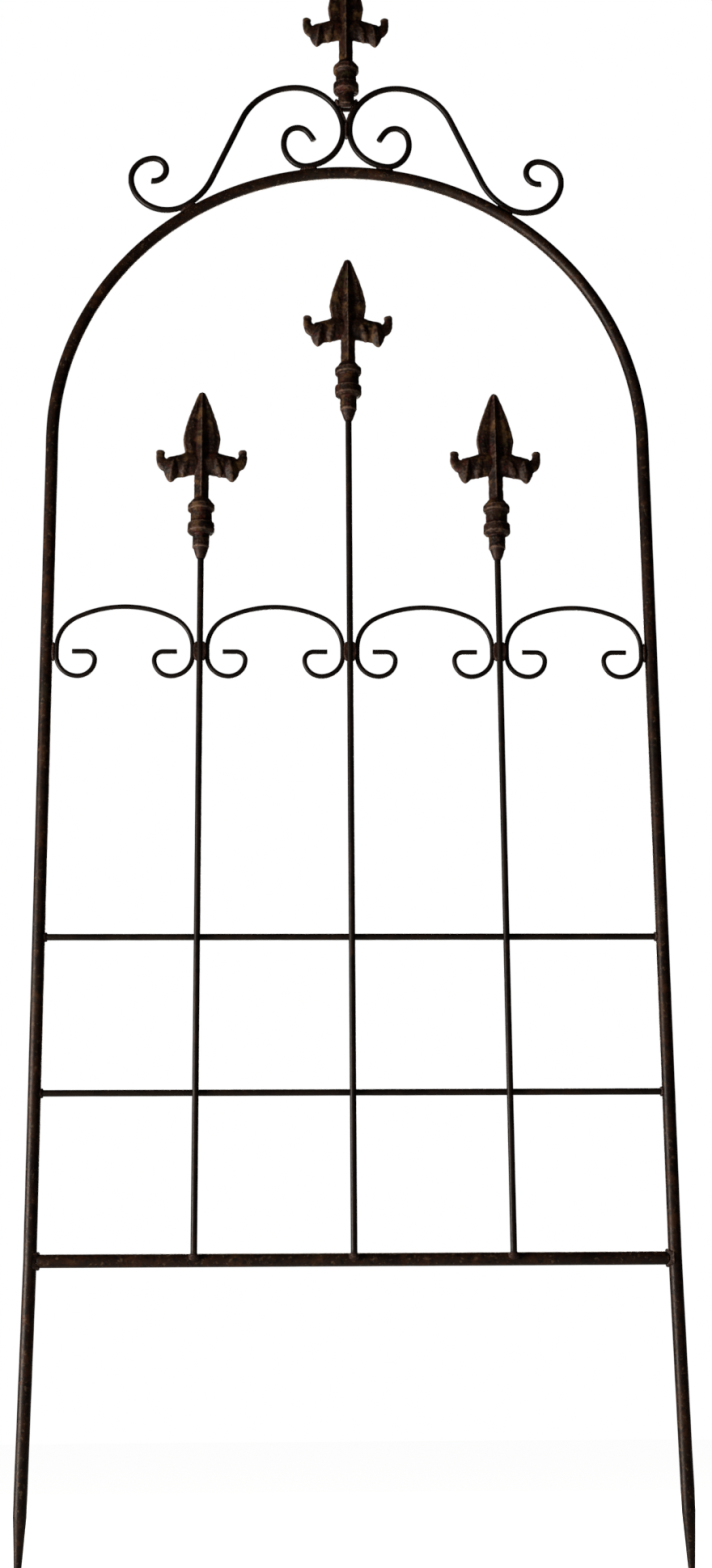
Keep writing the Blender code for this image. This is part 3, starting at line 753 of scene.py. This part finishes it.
@dataclass
class Crest(Group):
    """The two S-scrolls that stand on the arch, worked out from circles that touch each other."""

    pair_gap: float = 0.0006
    arch_gap: float = 0.0009
    lobe_lower: float = 0.0433
    lobe_upper: float = 0.0503
    crown_radius: float = 0.063
    foot_radius: float = 0.0705
    foot_angle: float = 32.6
    inner_curl: tuple[Bend, ...] = (Bend(0.0202, 46), Bend(0.0282, 72), Bend(0.014, 121), Bend(0.06, 11))
    outer_curl: tuple[Bend, ...] = (Bend(0.0385, 113), Bend(0.0243, 97), Bend(0.0133, 192))

    def __post_init__(self) -> None:
        """Find the circles' middles and where they touch the arch."""
        at = self.at
        self.arch = Vector((0.0, 0.0, at.spring_z))
        self.reach = at.leg_x + at.hoop_rod / 2 + self.arch_gap + at.crest_wire / 2
        side_x = (self.pair_gap + at.crest_wire) / 2
        lobe_x = side_x + self.lobe_lower
        lobe_rise = sqrt((self.reach + self.lobe_lower) ** 2 - lobe_x ** 2)
        lobe = self.arch + Vector((lobe_x, 0.0, lobe_rise))
        upper = Vector((side_x + self.lobe_upper, 0.0, lobe.z))
        self.crown = upper + Vector((0.0, 0.0, self.lobe_upper - self.crown_radius))
        foot_way = ahead(90 - self.foot_angle)
        self.foot = self.arch + (self.reach + self.foot_radius) * foot_way
        self.foot_touch = self.arch + self.reach * foot_way
        lobe_way = (lobe - self.arch).normalized()
        self.lobe_touch = self.arch + self.reach * lobe_way
        self.lobe_angle = degrees(atan2(lobe_way.x, lobe_way.z))

    def build(self) -> None:
        """Make the right scroll and its mirror image."""
        span = self.foot - self.crown
        radii = self.crown_radius + self.foot_radius
        stem = sqrt(span.length_squared - radii ** 2)
        fall = degrees(atan2(span.z, span.x) - atan2(radii, stem))
        outer: Moves = [
            Bend(self.lobe_lower, self.lobe_angle - 90), Bend(self.lobe_upper, -90),
            Bend(self.crown_radius, fall), Run(stem), Bend(self.foot_radius, -self.foot_angle - fall),
            *self.outer_curl]
        end, heading = walk(self.lobe_touch, -self.lobe_angle, list(self.inner_curl))
        moves = [*(Bend(curl.radius, -curl.degrees) for curl in reversed(self.inner_curl)), *outer]
        for side, way in (("right", 1), ("left", -1)):
            bar = RoundBar(self.at.crest_wire, ring_gap=0.004).sweep(end, heading + 180, moves)
            if way < 0:
                bmesh.ops.scale(bar, verts=bar.verts, vec=(-1.0, 1.0, 1.0))
                bmesh.ops.recalc_face_normals(bar, faces=bar.faces)
            node = f"{side}_crest_scroll"
            self.shop.deliver(f"{node}_wire", bar, SCROLLED_WIRE, node, heated=True)


# Castings

@dataclass(frozen=True)
class Leaf:
    """One leaf of an arm.

    Its knots are (out, up, half width) as shares of half the arms' span. Its flatness is its half depth over
    its half width. The power shapes its section: 2 is an ellipse, and less is ridged.
    """

    flatness: float
    power: float
    knots: tuple[Triple, ...]


# The arm with its upturned tip, the web under it, and three ridged lobes that hang from it
ARM_LEAVES = (
    Leaf(0.46, 2.0, ((0.00, 0.00, 0.20), (0.22, 0.00, 0.25), (0.45, -0.03, 0.22), (0.66, -0.05, 0.19),
                     (0.80, -0.03, 0.15), (0.872, 0.07, 0.108), (0.885, 0.17, 0.092), (0.878, 0.25, 0.096),
                     (0.870, 0.295, 0.050))),
    Leaf(0.32, 2.0, ((0.10, -0.10, 0.16), (0.38, -0.16, 0.165), (0.62, -0.20, 0.165))),
    Leaf(0.80, 1.3, ((0.55, 0.11, 0.08), (0.605, -0.02, 0.165), (0.635, -0.16, 0.185), (0.650, -0.30, 0.140),
                     (0.660, -0.40, 0.075), (0.665, -0.445, 0.020))),
    Leaf(0.86, 1.6, ((0.21, 0.16, 0.06), (0.29, 0.05, 0.140), (0.35, -0.09, 0.155), (0.39, -0.23, 0.115),
                     (0.40, -0.335, 0.035))),
    Leaf(1.00, 1.4, ((0.12, 0.04, 0.03), (0.15, -0.07, 0.080), (0.17, -0.17, 0.075), (0.18, -0.27, 0.030))))


def smooth_run(knots: tuple[Triple, ...], steps: int) -> list[Triple]:
    """Points on a smooth curve that passes through the knots.

    Args:
        knots: triples of numbers.
        steps: points from one knot to the next.

    Returns:
        The points, from the first knot to the last.
    """
    padded = [knots[0], *knots, knots[-1]]
    run = []
    for a, b, c, d in zip(padded, padded[1:], padded[2:], padded[3:]):
        for step in range(steps):
            t = step / steps
            run.append(tuple(
                0.5 * (2 * q + (r - p) * t + (2 * p - 5 * q + 4 * r - s) * t * t
                       + (3 * q - p - 3 * r + s) * t ** 3)
                for p, q, r, s in zip(a, b, c, d)))
    run.append(tuple(knots[-1]))
    return run


@dataclass
class FinialPattern:
    """The pattern that all four finials are cast from, with its lip at the origin."""

    socket_radius: float = 0.003475
    socket_depth: float = 0.012
    cup_lip: float = 0.0046
    cup_radius: float = 0.0085
    cup_height: float = 0.0155
    ring_radius: float = 0.0136
    ring_rounding: float = 0.0022
    lower_ring: float = 0.0128
    panel_height: float = 0.0106
    panel_radius: float = 0.0109
    upper_ring: float = 0.0097
    neck_height: float = 0.0045
    neck_radius: float = 0.0082
    shank_side: float = 0.0112
    shank_length: float = 0.0484
    shank_rounding: float = 0.0007
    arm_half_span: float = 0.0477
    arm_drop: float = 0.0085
    leaf_sides: int = 28
    knot_steps: int = 8
    blade_length: float = 0.0699
    blade_half_width: float = 0.01925
    blade_half_thickness: float = 0.0075
    blade_levels: int = 84
    blade_sides: int = 96
    # Shares of the blade's length where it is widest and where its tip starts to round off
    widest: float = 0.24
    tip_rounding: float = 0.965
    # What each taper takes away in all, and the power that it grows by
    base_taper: Pair = (0.14, 1.2)
    tip_taper: Pair = (0.86, 1.38)
    thinning: Pair = (0.62, 1.5)
    # The rib's greatest height over the half width, and how steeply the edge rises
    rib_limit: float = 1.2
    edge_slope: float = 4.0
    # From the middle to the edge: a tent-shaped rib, a flute, a panel that rises outward and a thin rim
    blade_section: tuple[Pair, ...] = (
        (0.0, 0.98), (0.04, 0.92), (0.27, 0.31), (0.34, 0.32), (0.60, 0.44), (0.67, 0.44), (0.80, 0.34),
        (0.94, 0.32), (1.0, 0.16))
    voxel: float = 0.0006
    bm: BMesh = field(default_factory=bmesh.new)

    def __post_init__(self) -> None:
        """Work out the levels."""
        self.neck_top = (self.cup_height + self.lower_ring + self.panel_height + self.upper_ring
                         + self.neck_height)
        self.blade_base = self.neck_top + self.shank_length
        self.arm_z = self.blade_base - self.arm_drop

    def turned_foot(self) -> None:
        """Spin the cup, both collars and the panel, with the socket in the cup."""
        panel = self.cup_height + self.lower_ring
        upper = panel + self.panel_height
        neck = upper + self.upper_ring
        edge = self.ring_rounding
        outline = [
            (0.0, self.socket_depth), (self.socket_radius, self.socket_depth), (self.socket_radius, 0.0),
            (self.socket_radius + self.cup_lip, 0.0), (self.cup_radius, edge / 2),
            (self.cup_radius, self.cup_height - edge / 2), (self.ring_radius - edge, self.cup_height),
            (self.ring_radius, self.cup_height + edge), (self.ring_radius, panel - edge),
            (self.panel_radius, panel), (self.panel_radius, upper), (self.ring_radius, upper + edge),
            (self.ring_radius, neck - edge), (self.ring_radius - edge, neck),
            (self.neck_radius, self.neck_top), (0.0, self.neck_top)]
        verts = [self.bm.verts.new((radius, 0.0, height)) for radius, height in outline]
        edges = [self.bm.edges.new(pair) for pair in zip(verts, verts[1:])]
        lathe(self.bm, verts + edges, 64)

    def shank(self) -> None:
        """Stand a square bar corner forward, from the neck into the blade."""
        bottom = self.neck_top - self.neck_height
        top = self.blade_base + self.shank_side / 4
        size = Matrix.Diagonal((self.shank_side, self.shank_side, top - bottom, 1.0))
        place = Matrix.Translation((0.0, 0.0, (top + bottom) / 2))
        turn = Matrix.Rotation(radians(45), 4, "Z")
        cube = bmesh.ops.create_cube(self.bm, size=1.0, matrix=place @ turn @ size)["verts"]
        ease_edges(self.bm, edges_of(cube), self.shank_rounding)

    @staticmethod
    def left_by(taper: Pair, share: float) -> float:
        """What a taper leaves at a share of its length."""
        return 1 - taper[0] * share ** taper[1]

    def half_width(self, share: float) -> float:
        """Half the blade's width.

        Args:
            share: how far up the blade, from 0 to 1.

        Returns:
            The half width there.
        """
        if share < self.widest:
            return self.blade_half_width * self.left_by(self.base_taper, (self.widest - share) / self.widest)
        past = max(0.0, share - self.tip_rounding) / (1 - self.tip_rounding)
        left = self.left_by(self.tip_taper, (share - self.widest) / (1 - self.widest))
        return self.blade_half_width * left * sqrt(max(0.0, 1 - past ** 2))

    def blade(self) -> None:
        """Raise a disc level by level, then press it to a fluted leaf."""
        base = Matrix.Translation((0.0, 0.0, self.blade_base))
        verts = bmesh.ops.create_circle(
            self.bm, cap_ends=True, segments=self.blade_sides, radius=1.0, matrix=base)["verts"]
        end = verts[0].link_faces[0]
        for _ in range(self.blade_levels):
            ring, end = extruded(self.bm, end)
            bmesh.ops.translate(self.bm, verts=ring, vec=(0.0, 0.0, self.blade_length / self.blade_levels))
            verts += ring
        for vert in verts:
            share = max(0.0, (vert.co.z - self.blade_base) / self.blade_length)
            half = self.half_width(share)
            rib = min(self.blade_half_thickness * self.left_by(self.thinning, share), half * self.rib_limit)
            height = np.interp(abs(vert.co.x), *zip(*self.blade_section))
            rise = min(1.0, abs(vert.co.y) * self.edge_slope)
            vert.co.x *= half
            vert.co.y = copysign(height * rib * rise, vert.co.y)

    def leaf(self, shape: Leaf, side: int) -> None:
        """Sweep a swelling, flattened and ridged section along a leaf's knots.

        Args:
            shape: the leaf.
            side: 1 on the right, -1 on the left.
        """
        run = smooth_run(shape.knots, self.knot_steps)
        poses = []
        for index, (out, up, half) in enumerate(run):
            before, after = run[max(index - 1, 0)], run[min(index + 1, len(run) - 1)]
            way = Vector((side * (after[0] - before[0]), 0.0, after[1] - before[1])).normalized()
            turn = Matrix((Vector((0.0, 1.0, 0.0)), way.cross((0.0, 1.0, 0.0)), way)).transposed().to_4x4()
            place = Vector((side * out, 0.0, up)) * self.arm_half_span + Vector((0.0, 0.0, self.arm_z))
            radius = half * self.arm_half_span
            poses.append(Matrix.Translation(place) @ turn @ Matrix.Diagonal((radius, radius, radius, 1.0)))
        verts = bmesh.ops.create_circle(
            self.bm, cap_ends=True, segments=self.leaf_sides, radius=1.0)["verts"]
        for vert in verts:
            vert.co *= (abs(vert.co.x) ** shape.power + abs(vert.co.y) ** shape.power) ** (-1 / shape.power)
        bmesh.ops.transform(self.bm, matrix=poses[0], verts=verts)
        end = verts[0].link_faces[0]
        for old, new in zip(poses, poses[1:]):
            ring, end = extruded(self.bm, end)
            bmesh.ops.transform(self.bm, matrix=new @ old.inverted(), verts=ring)
            verts += ring
        bmesh.ops.scale(self.bm, verts=verts, vec=(1.0, shape.flatness, 1.0))

    def cast(self) -> Mesh:
        """Join the shapes to one skin.

        Returns:
            The bare casting's mesh.
        """
        self.turned_foot()
        self.shank()
        self.blade()
        for side in (-1, 1):
            for shape in ARM_LEAVES:
                self.leaf(shape, side)
        close_up(self.bm)
        pattern = placed("finial_pattern", self.bm)
        remesh = pattern.modifiers.new("one_skin", "REMESH")
        remesh.mode = "VOXEL"
        remesh.voxel_size = self.voxel
        bpy.context.view_layer.update()
        skin = bpy.data.meshes.new_from_object(pattern.evaluated_get(bpy.context.evaluated_depsgraph_get()))
        bpy.data.objects.remove(pattern, do_unlink=True)
        return skin


@dataclass
class Finials(Group):
    """Four castings from one pattern, softened as sand does, each with its own rough skin."""

    soften_rounds: int = 2
    seed_step: float = 31.0
    cavity_rounds: int = 30

    def build(self) -> None:
        """Cast all four."""
        skin = FinialPattern().cast()
        for index, (side, lip) in enumerate(self.at.finial_lip.items()):
            bm = bmesh.new()
            bm.from_mesh(skin)
            for _ in range(self.soften_rounds):
                bmesh.ops.smooth_vert(
                    bm, verts=bm.verts, factor=0.5, use_axis_x=True, use_axis_y=True, use_axis_z=True)
            bm.normal_update()
            for rough in CAST_SKINS:
                Skin(rough.size_mm, rough.depth_mm, rough.seed + self.seed_step * index).roughen(bm.verts)
            x = self.at.upright_x.get(side, 0.0)
            y = self.at.upright_y if side in self.at.upright_x else 0.0
            bmesh.ops.translate(bm, verts=bm.verts, vec=(x, y, lip))
            node = f"{side}_finial"
            self.shop.deliver(f"{node}_casting", bm, SAND_CAST_IRON, node, self.cavity_rounds, True)
        bpy.data.meshes.remove(skin)


# Welds

@dataclass
class Bead:
    """Weld metal: a rippled blob, or a rippled ring round the end of a rod."""

    ripple_mm: float = 1.5
    ripple_share: float = 0.07
    ripple_bow: float = 0.35
    blunt_ends: float = 0.4
    blob_sides: int = 28
    section_sides: int = 14
    ring_steps: int = 96
    lump: Skin = Skin(2.2, 0.35)

    def blob(self, centre: Vector, half: Triple, lean: float = 0.0, straight: float = 0.0) -> BMesh:
        """A barrel laid along Z, then leaned over.

        Args:
            centre: its middle.
            half: its half sizes before it leans.
            lean: radians about +Y.
            straight: how much of its half length has full width, from 0 to 1.

        Returns:
            Its closed mesh.
        """
        bm = bmesh.new()
        bmesh.ops.create_uvsphere(bm, u_segments=self.blob_sides, v_segments=self.blob_sides, radius=1.0)
        for vert in bm.verts:
            x, y, z = vert.co
            stretched = z * (1 - straight) + copysign(straight, z) * abs(z) ** self.blunt_ends
            along = stretched * half[2] + self.ripple_bow * half[0] * (1 - x ** 2)
            swell = 1 + self.ripple_share * cos(FULL_TURN * along / (self.ripple_mm * MM))
            vert.co = Vector((x * half[0] * swell, y * half[1] * swell, stretched * half[2]))
        bmesh.ops.rotate(bm, verts=bm.verts, matrix=Matrix.Rotation(lean, 3, "Y"))
        bmesh.ops.translate(bm, verts=bm.verts, vec=centre)
        return self.finished(bm)

    def ring(self, radius: float, throat: float, shape: Callable[[Vector], Vector]) -> BMesh:
        """A rippled ring about +Z, then laid in its joint by a function.

        Args:
            radius: from its axis to the middle of its section.
            throat: half the width of its section.
            shape: turns a point of the flat ring to its place.

        Returns:
            Its closed mesh.
        """
        bm = bmesh.new()
        turn = Matrix.Translation((radius, 0.0, 0.0)) @ Matrix.Rotation(radians(90), 4, "X")
        disc = bmesh.ops.create_circle(
            bm, cap_ends=False, segments=self.section_sides, radius=throat, matrix=turn)["verts"]
        lathe(bm, disc + edges_of(disc), self.ring_steps)
        close_up(bm)
        ripples = round(FULL_TURN * radius / (self.ripple_mm * MM))
        for vert in bm.verts:
            core = Vector((vert.co.x, vert.co.y, 0.0)).normalized() * radius
            swell = 1 + 2 * self.ripple_share * cos(atan2(vert.co.y, vert.co.x) * ripples)
            vert.co = shape(core + (vert.co - core) * swell)
        return self.finished(bm)

    def finished(self, bm: BMesh) -> BMesh:
        """Turn the bead's faces out and roughen it.

        Args:
            bm: its mesh.

        Returns:
            The same mesh.
        """
        bmesh.ops.recalc_face_normals(bm, faces=bm.faces)
        bm.normal_update()
        self.lump.roughen(bm.verts)
        return bm


@dataclass(frozen=True)
class NipBead:
    """A thin run of weld metal on both sides of the middle, measured from the lip of the top finial."""

    name: str
    out: float
    rise: float
    half: Triple
    lean: float


@dataclass
class Welds(Group):
    """Every weld, each in place of its CAD bead, and the beads in the nips below the top finial."""

    crest: Crest
    bead: Bead = field(default_factory=Bead)
    cavity_rounds: int = 6
    heat_reach: float = 0.009
    heat_share: float = 0.5
    rail_throat: float = 0.0019
    rod_throat: float = 0.0013
    # How far a ring sinks into the leg and stands off the rod, in shares of its throat
    ring_sink: float = 0.3
    ring_stand_off: float = 0.15
    # The outermost beads of the C-scrolls sit on the legs, and wash over no rod
    on_legs: tuple[tuple[int, str], ...] = ((1, "left"), (4, "right"))
    wash_mm: Triple = (0.5, 0.9, 0.0)
    scroll_straight: float = 0.35
    crest_half: Triple = (0.0028, 0.0044, 0.0094)
    crest_straight: float = 0.3
    centre_half: Triple = (0.0021, 0.0041, 0.0112)
    centre_straight: float = 0.85
    centre_drop: float = 0.0015
    nip_beads: tuple[NipBead, ...] = (
        NipBead("top_finial_side", 0.0094, 0.0036, (0.0025, 0.0040, 0.0052), 22.0),
        NipBead("crest_inner_side", 0.0040, -0.0105, (0.0020, 0.0030, 0.0108), 21.0))
    # The cone's inner radius over the rod's, and its flank in shares of its width and height
    cone_core: float = 0.8
    cone_flank: tuple[Pair, ...] = (
        (1.00, 0.0), (0.80, 0.30), (0.50, 0.66), (0.22, 0.93), (0.06, 1.0))

    def note_heat(self, nodes: Iterable[str]) -> None:
        """Note where the welds are, so that bars and castings take their heat marks.

        Args:
            nodes: the names of all CAD nodes.
        """
        for node in nodes:
            if "_weld" in node:
                low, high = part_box(node)
                reach = self.heat_reach + (high - low).length * self.heat_share
                self.shop.hot_spots.append(((low + high) / 2, reach))

    def build(self) -> None:
        """Lay every bead."""
        at = self.at
        for side, x in zip(("left", "right"), at.rod_ends):
            self.end_ring(f"rail_weld_{side}", x, at.rail_z, at.rail_rod, self.rail_throat)
            for row, height in at.cross_z.items():
                self.end_ring(f"{row}_cross_weld_{side}", x, height, at.thin_rod, self.rod_throat)
        for side in at.uprights:
            self.filling_blob(f"{side}_upright_foot_weld")
            self.cone(side)
        both_sides = (("left", -1), ("right", 1))
        for bay in range(1, 5):
            for side, way in both_sides:
                wash_way = 0 if (bay, side) in self.on_legs else way
                self.filling_blob(f"c_scroll_{bay}_weld_{side}", self.scroll_straight, wash_way)
        for side, way in both_sides:
            self.crest_weld(f"{side}_crest_inner_weld", self.crest.lobe_touch, way)
            self.crest_weld(f"{side}_crest_outer_weld", self.crest.foot_touch, way)
        middle = at.middle("crest_centre_weld") - Vector((0.0, 0.0, self.centre_drop))
        self.lay("crest_centre_weld", self.bead.blob(middle, self.centre_half, 0.0, self.centre_straight))
        for side in ("front", "back"):
            self.filling_blob(f"top_finial_weld_{side}")
        for nip in self.nip_beads:
            for side, way in both_sides:
                place = Vector((way * nip.out, 0.0, at.finial_lip["top"] + nip.rise))
                blob = self.bead.blob(place, nip.half, way * radians(nip.lean), self.crest_straight)
                self.shop.deliver(f"{nip.name}_bead_{side}", blob, BARE_WELD, "", self.cavity_rounds)

    def lay(self, node: str, bead: BMesh) -> None:
        """Put a bead in place of a CAD weld."""
        self.shop.deliver(f"{node}_bead", bead, BARE_WELD, node, self.cavity_rounds)

    def crest_weld(self, node: str, touch: Vector, way: int) -> None:
        """Lay a blob along the arch, below a place where a crest scroll stands on it.

        Args:
            node: the CAD bead that it replaces.
            touch: the scroll's centre line there, on the right.
            way: 1 on the right, -1 on the left.
        """
        out = (touch - self.crest.arch).normalized()
        spot = touch - out * (self.at.crest_wire + self.crest.arch_gap) / 2
        lean = way * atan2(out.x, out.z) + pi / 2
        middle = Vector((way * spot.x, 0.0, spot.z))
        self.lay(node, self.bead.blob(middle, self.crest_half, lean, self.crest_straight))

    def filling_blob(self, node: str, straight: float = 0.0, way: int = 0) -> None:
        """Lay a blob that fills a CAD bead's box.

        Args:
            node: the CAD bead that it replaces.
            straight: how much of its half length has full width.
            way: -1 or 1 where it washes over a rod on that side, or else 0.
        """
        low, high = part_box(node)
        wash = Vector(self.wash_mm) * MM * abs(way)
        half = (high - low) / 2 + wash
        middle = (low + high) / 2 + Vector((way * wash.x, -wash.y, 0.0))
        self.lay(node, self.bead.blob(middle, tuple(half), 0.0, straight))

    def end_ring(self, node: str, x: float, z: float, rod: float, throat: float) -> None:
        """Lay a ring where a rod's end meets a leg, following the leg's round.

        Args:
            node: the CAD bead that it replaces.
            x: the rod's end.
            z: the rod's height.
            rod: the rod's diameter.
            throat: half the width of the bead.
        """
        leg = self.at.hoop_rod / 2
        way = copysign(1.0, x)

        def laid(point: Vector) -> Vector:
            """Turn the ring to the rod's axis and press it on the leg."""
            round_off = leg - sqrt(max(leg ** 2 - point.y ** 2, 0.0))
            return Vector((x + way * (round_off - throat * self.ring_sink + point.z), point.y, z + point.x))

        self.lay(node, self.bead.ring(rod / 2 + throat * self.ring_stand_off, throat, laid))

    def cone(self, side: str) -> None:
        """Lay the tapering weld below a finial's cup.

        Args:
            side: which upright it is on.
        """
        node = f"{side}_finial_weld"
        low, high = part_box(node)
        rod = self.at.thin_rod / 2
        wide = (high.x - low.x) / 2 - rod
        middle = self.at.middle(node)
        core = rod * self.cone_core
        flank = [(rod + wide * out, high.z + (low.z - high.z) * down) for out, down in self.cone_flank]
        outline = [(core, high.z), *flank, (core, low.z)]
        bm = bmesh.new()
        verts = [bm.verts.new((radius, 0.0, height)) for radius, height in outline]
        edges = [bm.edges.new(pair) for pair in zip(verts, [*verts[1:], verts[0]])]
        bmesh.ops.subdivide_edges(bm, edges=edges, cuts=4)
        lathe(bm, bm.verts[:] + bm.edges[:], 48)
        close_up(bm)
        bmesh.ops.translate(bm, verts=bm.verts, vec=(middle.x, middle.y, 0.0))
        self.lay(node, self.bead.finished(bm))


# Studio

@dataclass(frozen=True)
class Softbox:
    """A square light: its place, its side in metres and its power."""

    name: str
    place: Triple
    size: float
    watts: float


@dataclass
class Studio:
    """A pale floor, soft light and the camera at the photograph's angle."""

    floor_gap: float = 0.0005
    floor_radius: float = 9.0
    floor_colour: str = "#e2e2de"
    floor_glow: float = 0.97
    ambient: float = 0.008
    light_colour: Triple = (1.0, 0.92, 0.83)
    aim: Triple = (0.0, 0.0, 0.6)
    softboxes: tuple[Softbox, ...] = (
        Softbox("key", (-2.37, -1.06, 0.2), 0.8, 75.0),
        Softbox("back_key", (0.2, 2.6, 1.1), 1.2, 55.0),
        Softbox("fill", (0.6, -3.0, 0.9), 2.0, 1.6))
    camera_at: Triple = (-0.0695, -2.2760, -0.0628)
    pitch: float = 14.58
    yaw: float = 1.88
    roll: float = -0.42
    lens: float = 54.31
    sensor: float = 36.0

    def build(self) -> None:
        """Lay the floor, hang the lights and set the camera."""
        bpy.context.scene.view_settings.view_transform = "Standard"
        self.floor()
        self.world()
        for box in self.softboxes:
            self.hang(box)
        self.camera()

    def floor(self) -> None:
        """A large pale disc just below the stakes."""
        low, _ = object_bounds()
        bm = bmesh.new()
        place = Matrix.Translation((0.0, 0.0, low.z - self.floor_gap))
        bmesh.ops.create_circle(bm, cap_ends=True, segments=128, radius=self.floor_radius, matrix=place)
        material = bpy.data.materials.new("pale_floor")
        tree = empty_tree(material)
        chalk = add_node(tree, "BsdfDiffuse", {"Color": srgb(self.floor_colour)})
        glow = add_node(tree, "Emission", {"Strength": self.floor_glow})
        bright = add_node(tree, "AddShader", {0: chalk.outputs[0], 1: glow.outputs[0]})
        path = add_node(tree, "LightPath")
        both = add_node(tree, "MixShader", {
            0: path.outputs["Is Camera Ray"], 1: chalk.outputs[0], 2: bright.outputs[0]})
        add_node(tree, "OutputMaterial", {"Surface": both.outputs[0]})
        floor = placed("floor", bm)
        floor.data.materials.append(material)
        floor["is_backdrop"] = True

    def world(self) -> None:
        """A white surround that lights the metal more softly than it looks."""
        world = bpy.data.worlds.new("studio")
        tree = empty_tree(world)
        seen = add_node(tree, "Background", {"Color": srgb("#ffffff"), "Strength": 1.0})
        lit = add_node(tree, "Background", {"Color": srgb("#ffffff"), "Strength": self.ambient})
        path = add_node(tree, "LightPath")
        both = add_node(tree, "MixShader", {
            0: path.outputs["Is Camera Ray"], 1: lit.outputs[0], 2: seen.outputs[0]})
        add_node(tree, "OutputWorld", {"Surface": both.outputs[0]})
        bpy.context.scene.world = world

    def hang(self, box: Softbox) -> None:
        """Hang a light that faces the trellis and stays out of the picture.

        Args:
            box: the light.
        """
        light = bpy.data.lights.new(box.name, "AREA")
        light.size = box.size
        light.energy = box.watts
        light.color = self.light_colour
        lamp = bpy.data.objects.new(box.name, light)
        lamp.location = box.place
        lamp.visible_camera = False
        lamp.rotation_euler = (Vector(self.aim) - Vector(box.place)).to_track_quat("-Z", "Y").to_euler()
        bpy.context.scene.collection.objects.link(lamp)

    def camera(self) -> None:
        """Stand the camera where the photograph was taken."""
        data = bpy.data.cameras.new("camera")
        data.lens = self.lens
        data.sensor_width = self.sensor
        camera = bpy.data.objects.new("camera", data)
        turn = (Matrix.Rotation(radians(-self.yaw), 4, "Z")
                @ Matrix.Rotation(radians(90 + self.pitch), 4, "X")
                @ Matrix.Rotation(radians(self.roll), 4, "Z"))
        camera.matrix_world = Matrix.Translation(self.camera_at) @ turn
        bpy.context.scene.collection.objects.link(camera)
        bpy.context.scene.camera = camera


def main() -> None:
    """Build the dressed trellis round the frame."""
    logging.basicConfig(level=logging.INFO, format="%(name)s %(message)s")
    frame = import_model()
    shop = Workshop()
    at = Layout()
    crest = Crest(shop, at)
    welds = Welds(shop, at, crest)
    welds.note_heat(frame["nodes"])
    Studio().build()
    for group in (Frame(shop, at), BayScrolls(shop, at), crest, Finials(shop, at), welds):
        LOG.info("building %s", type(group).__name__)
        group.build()


if __name__ == "__main__":
    main()
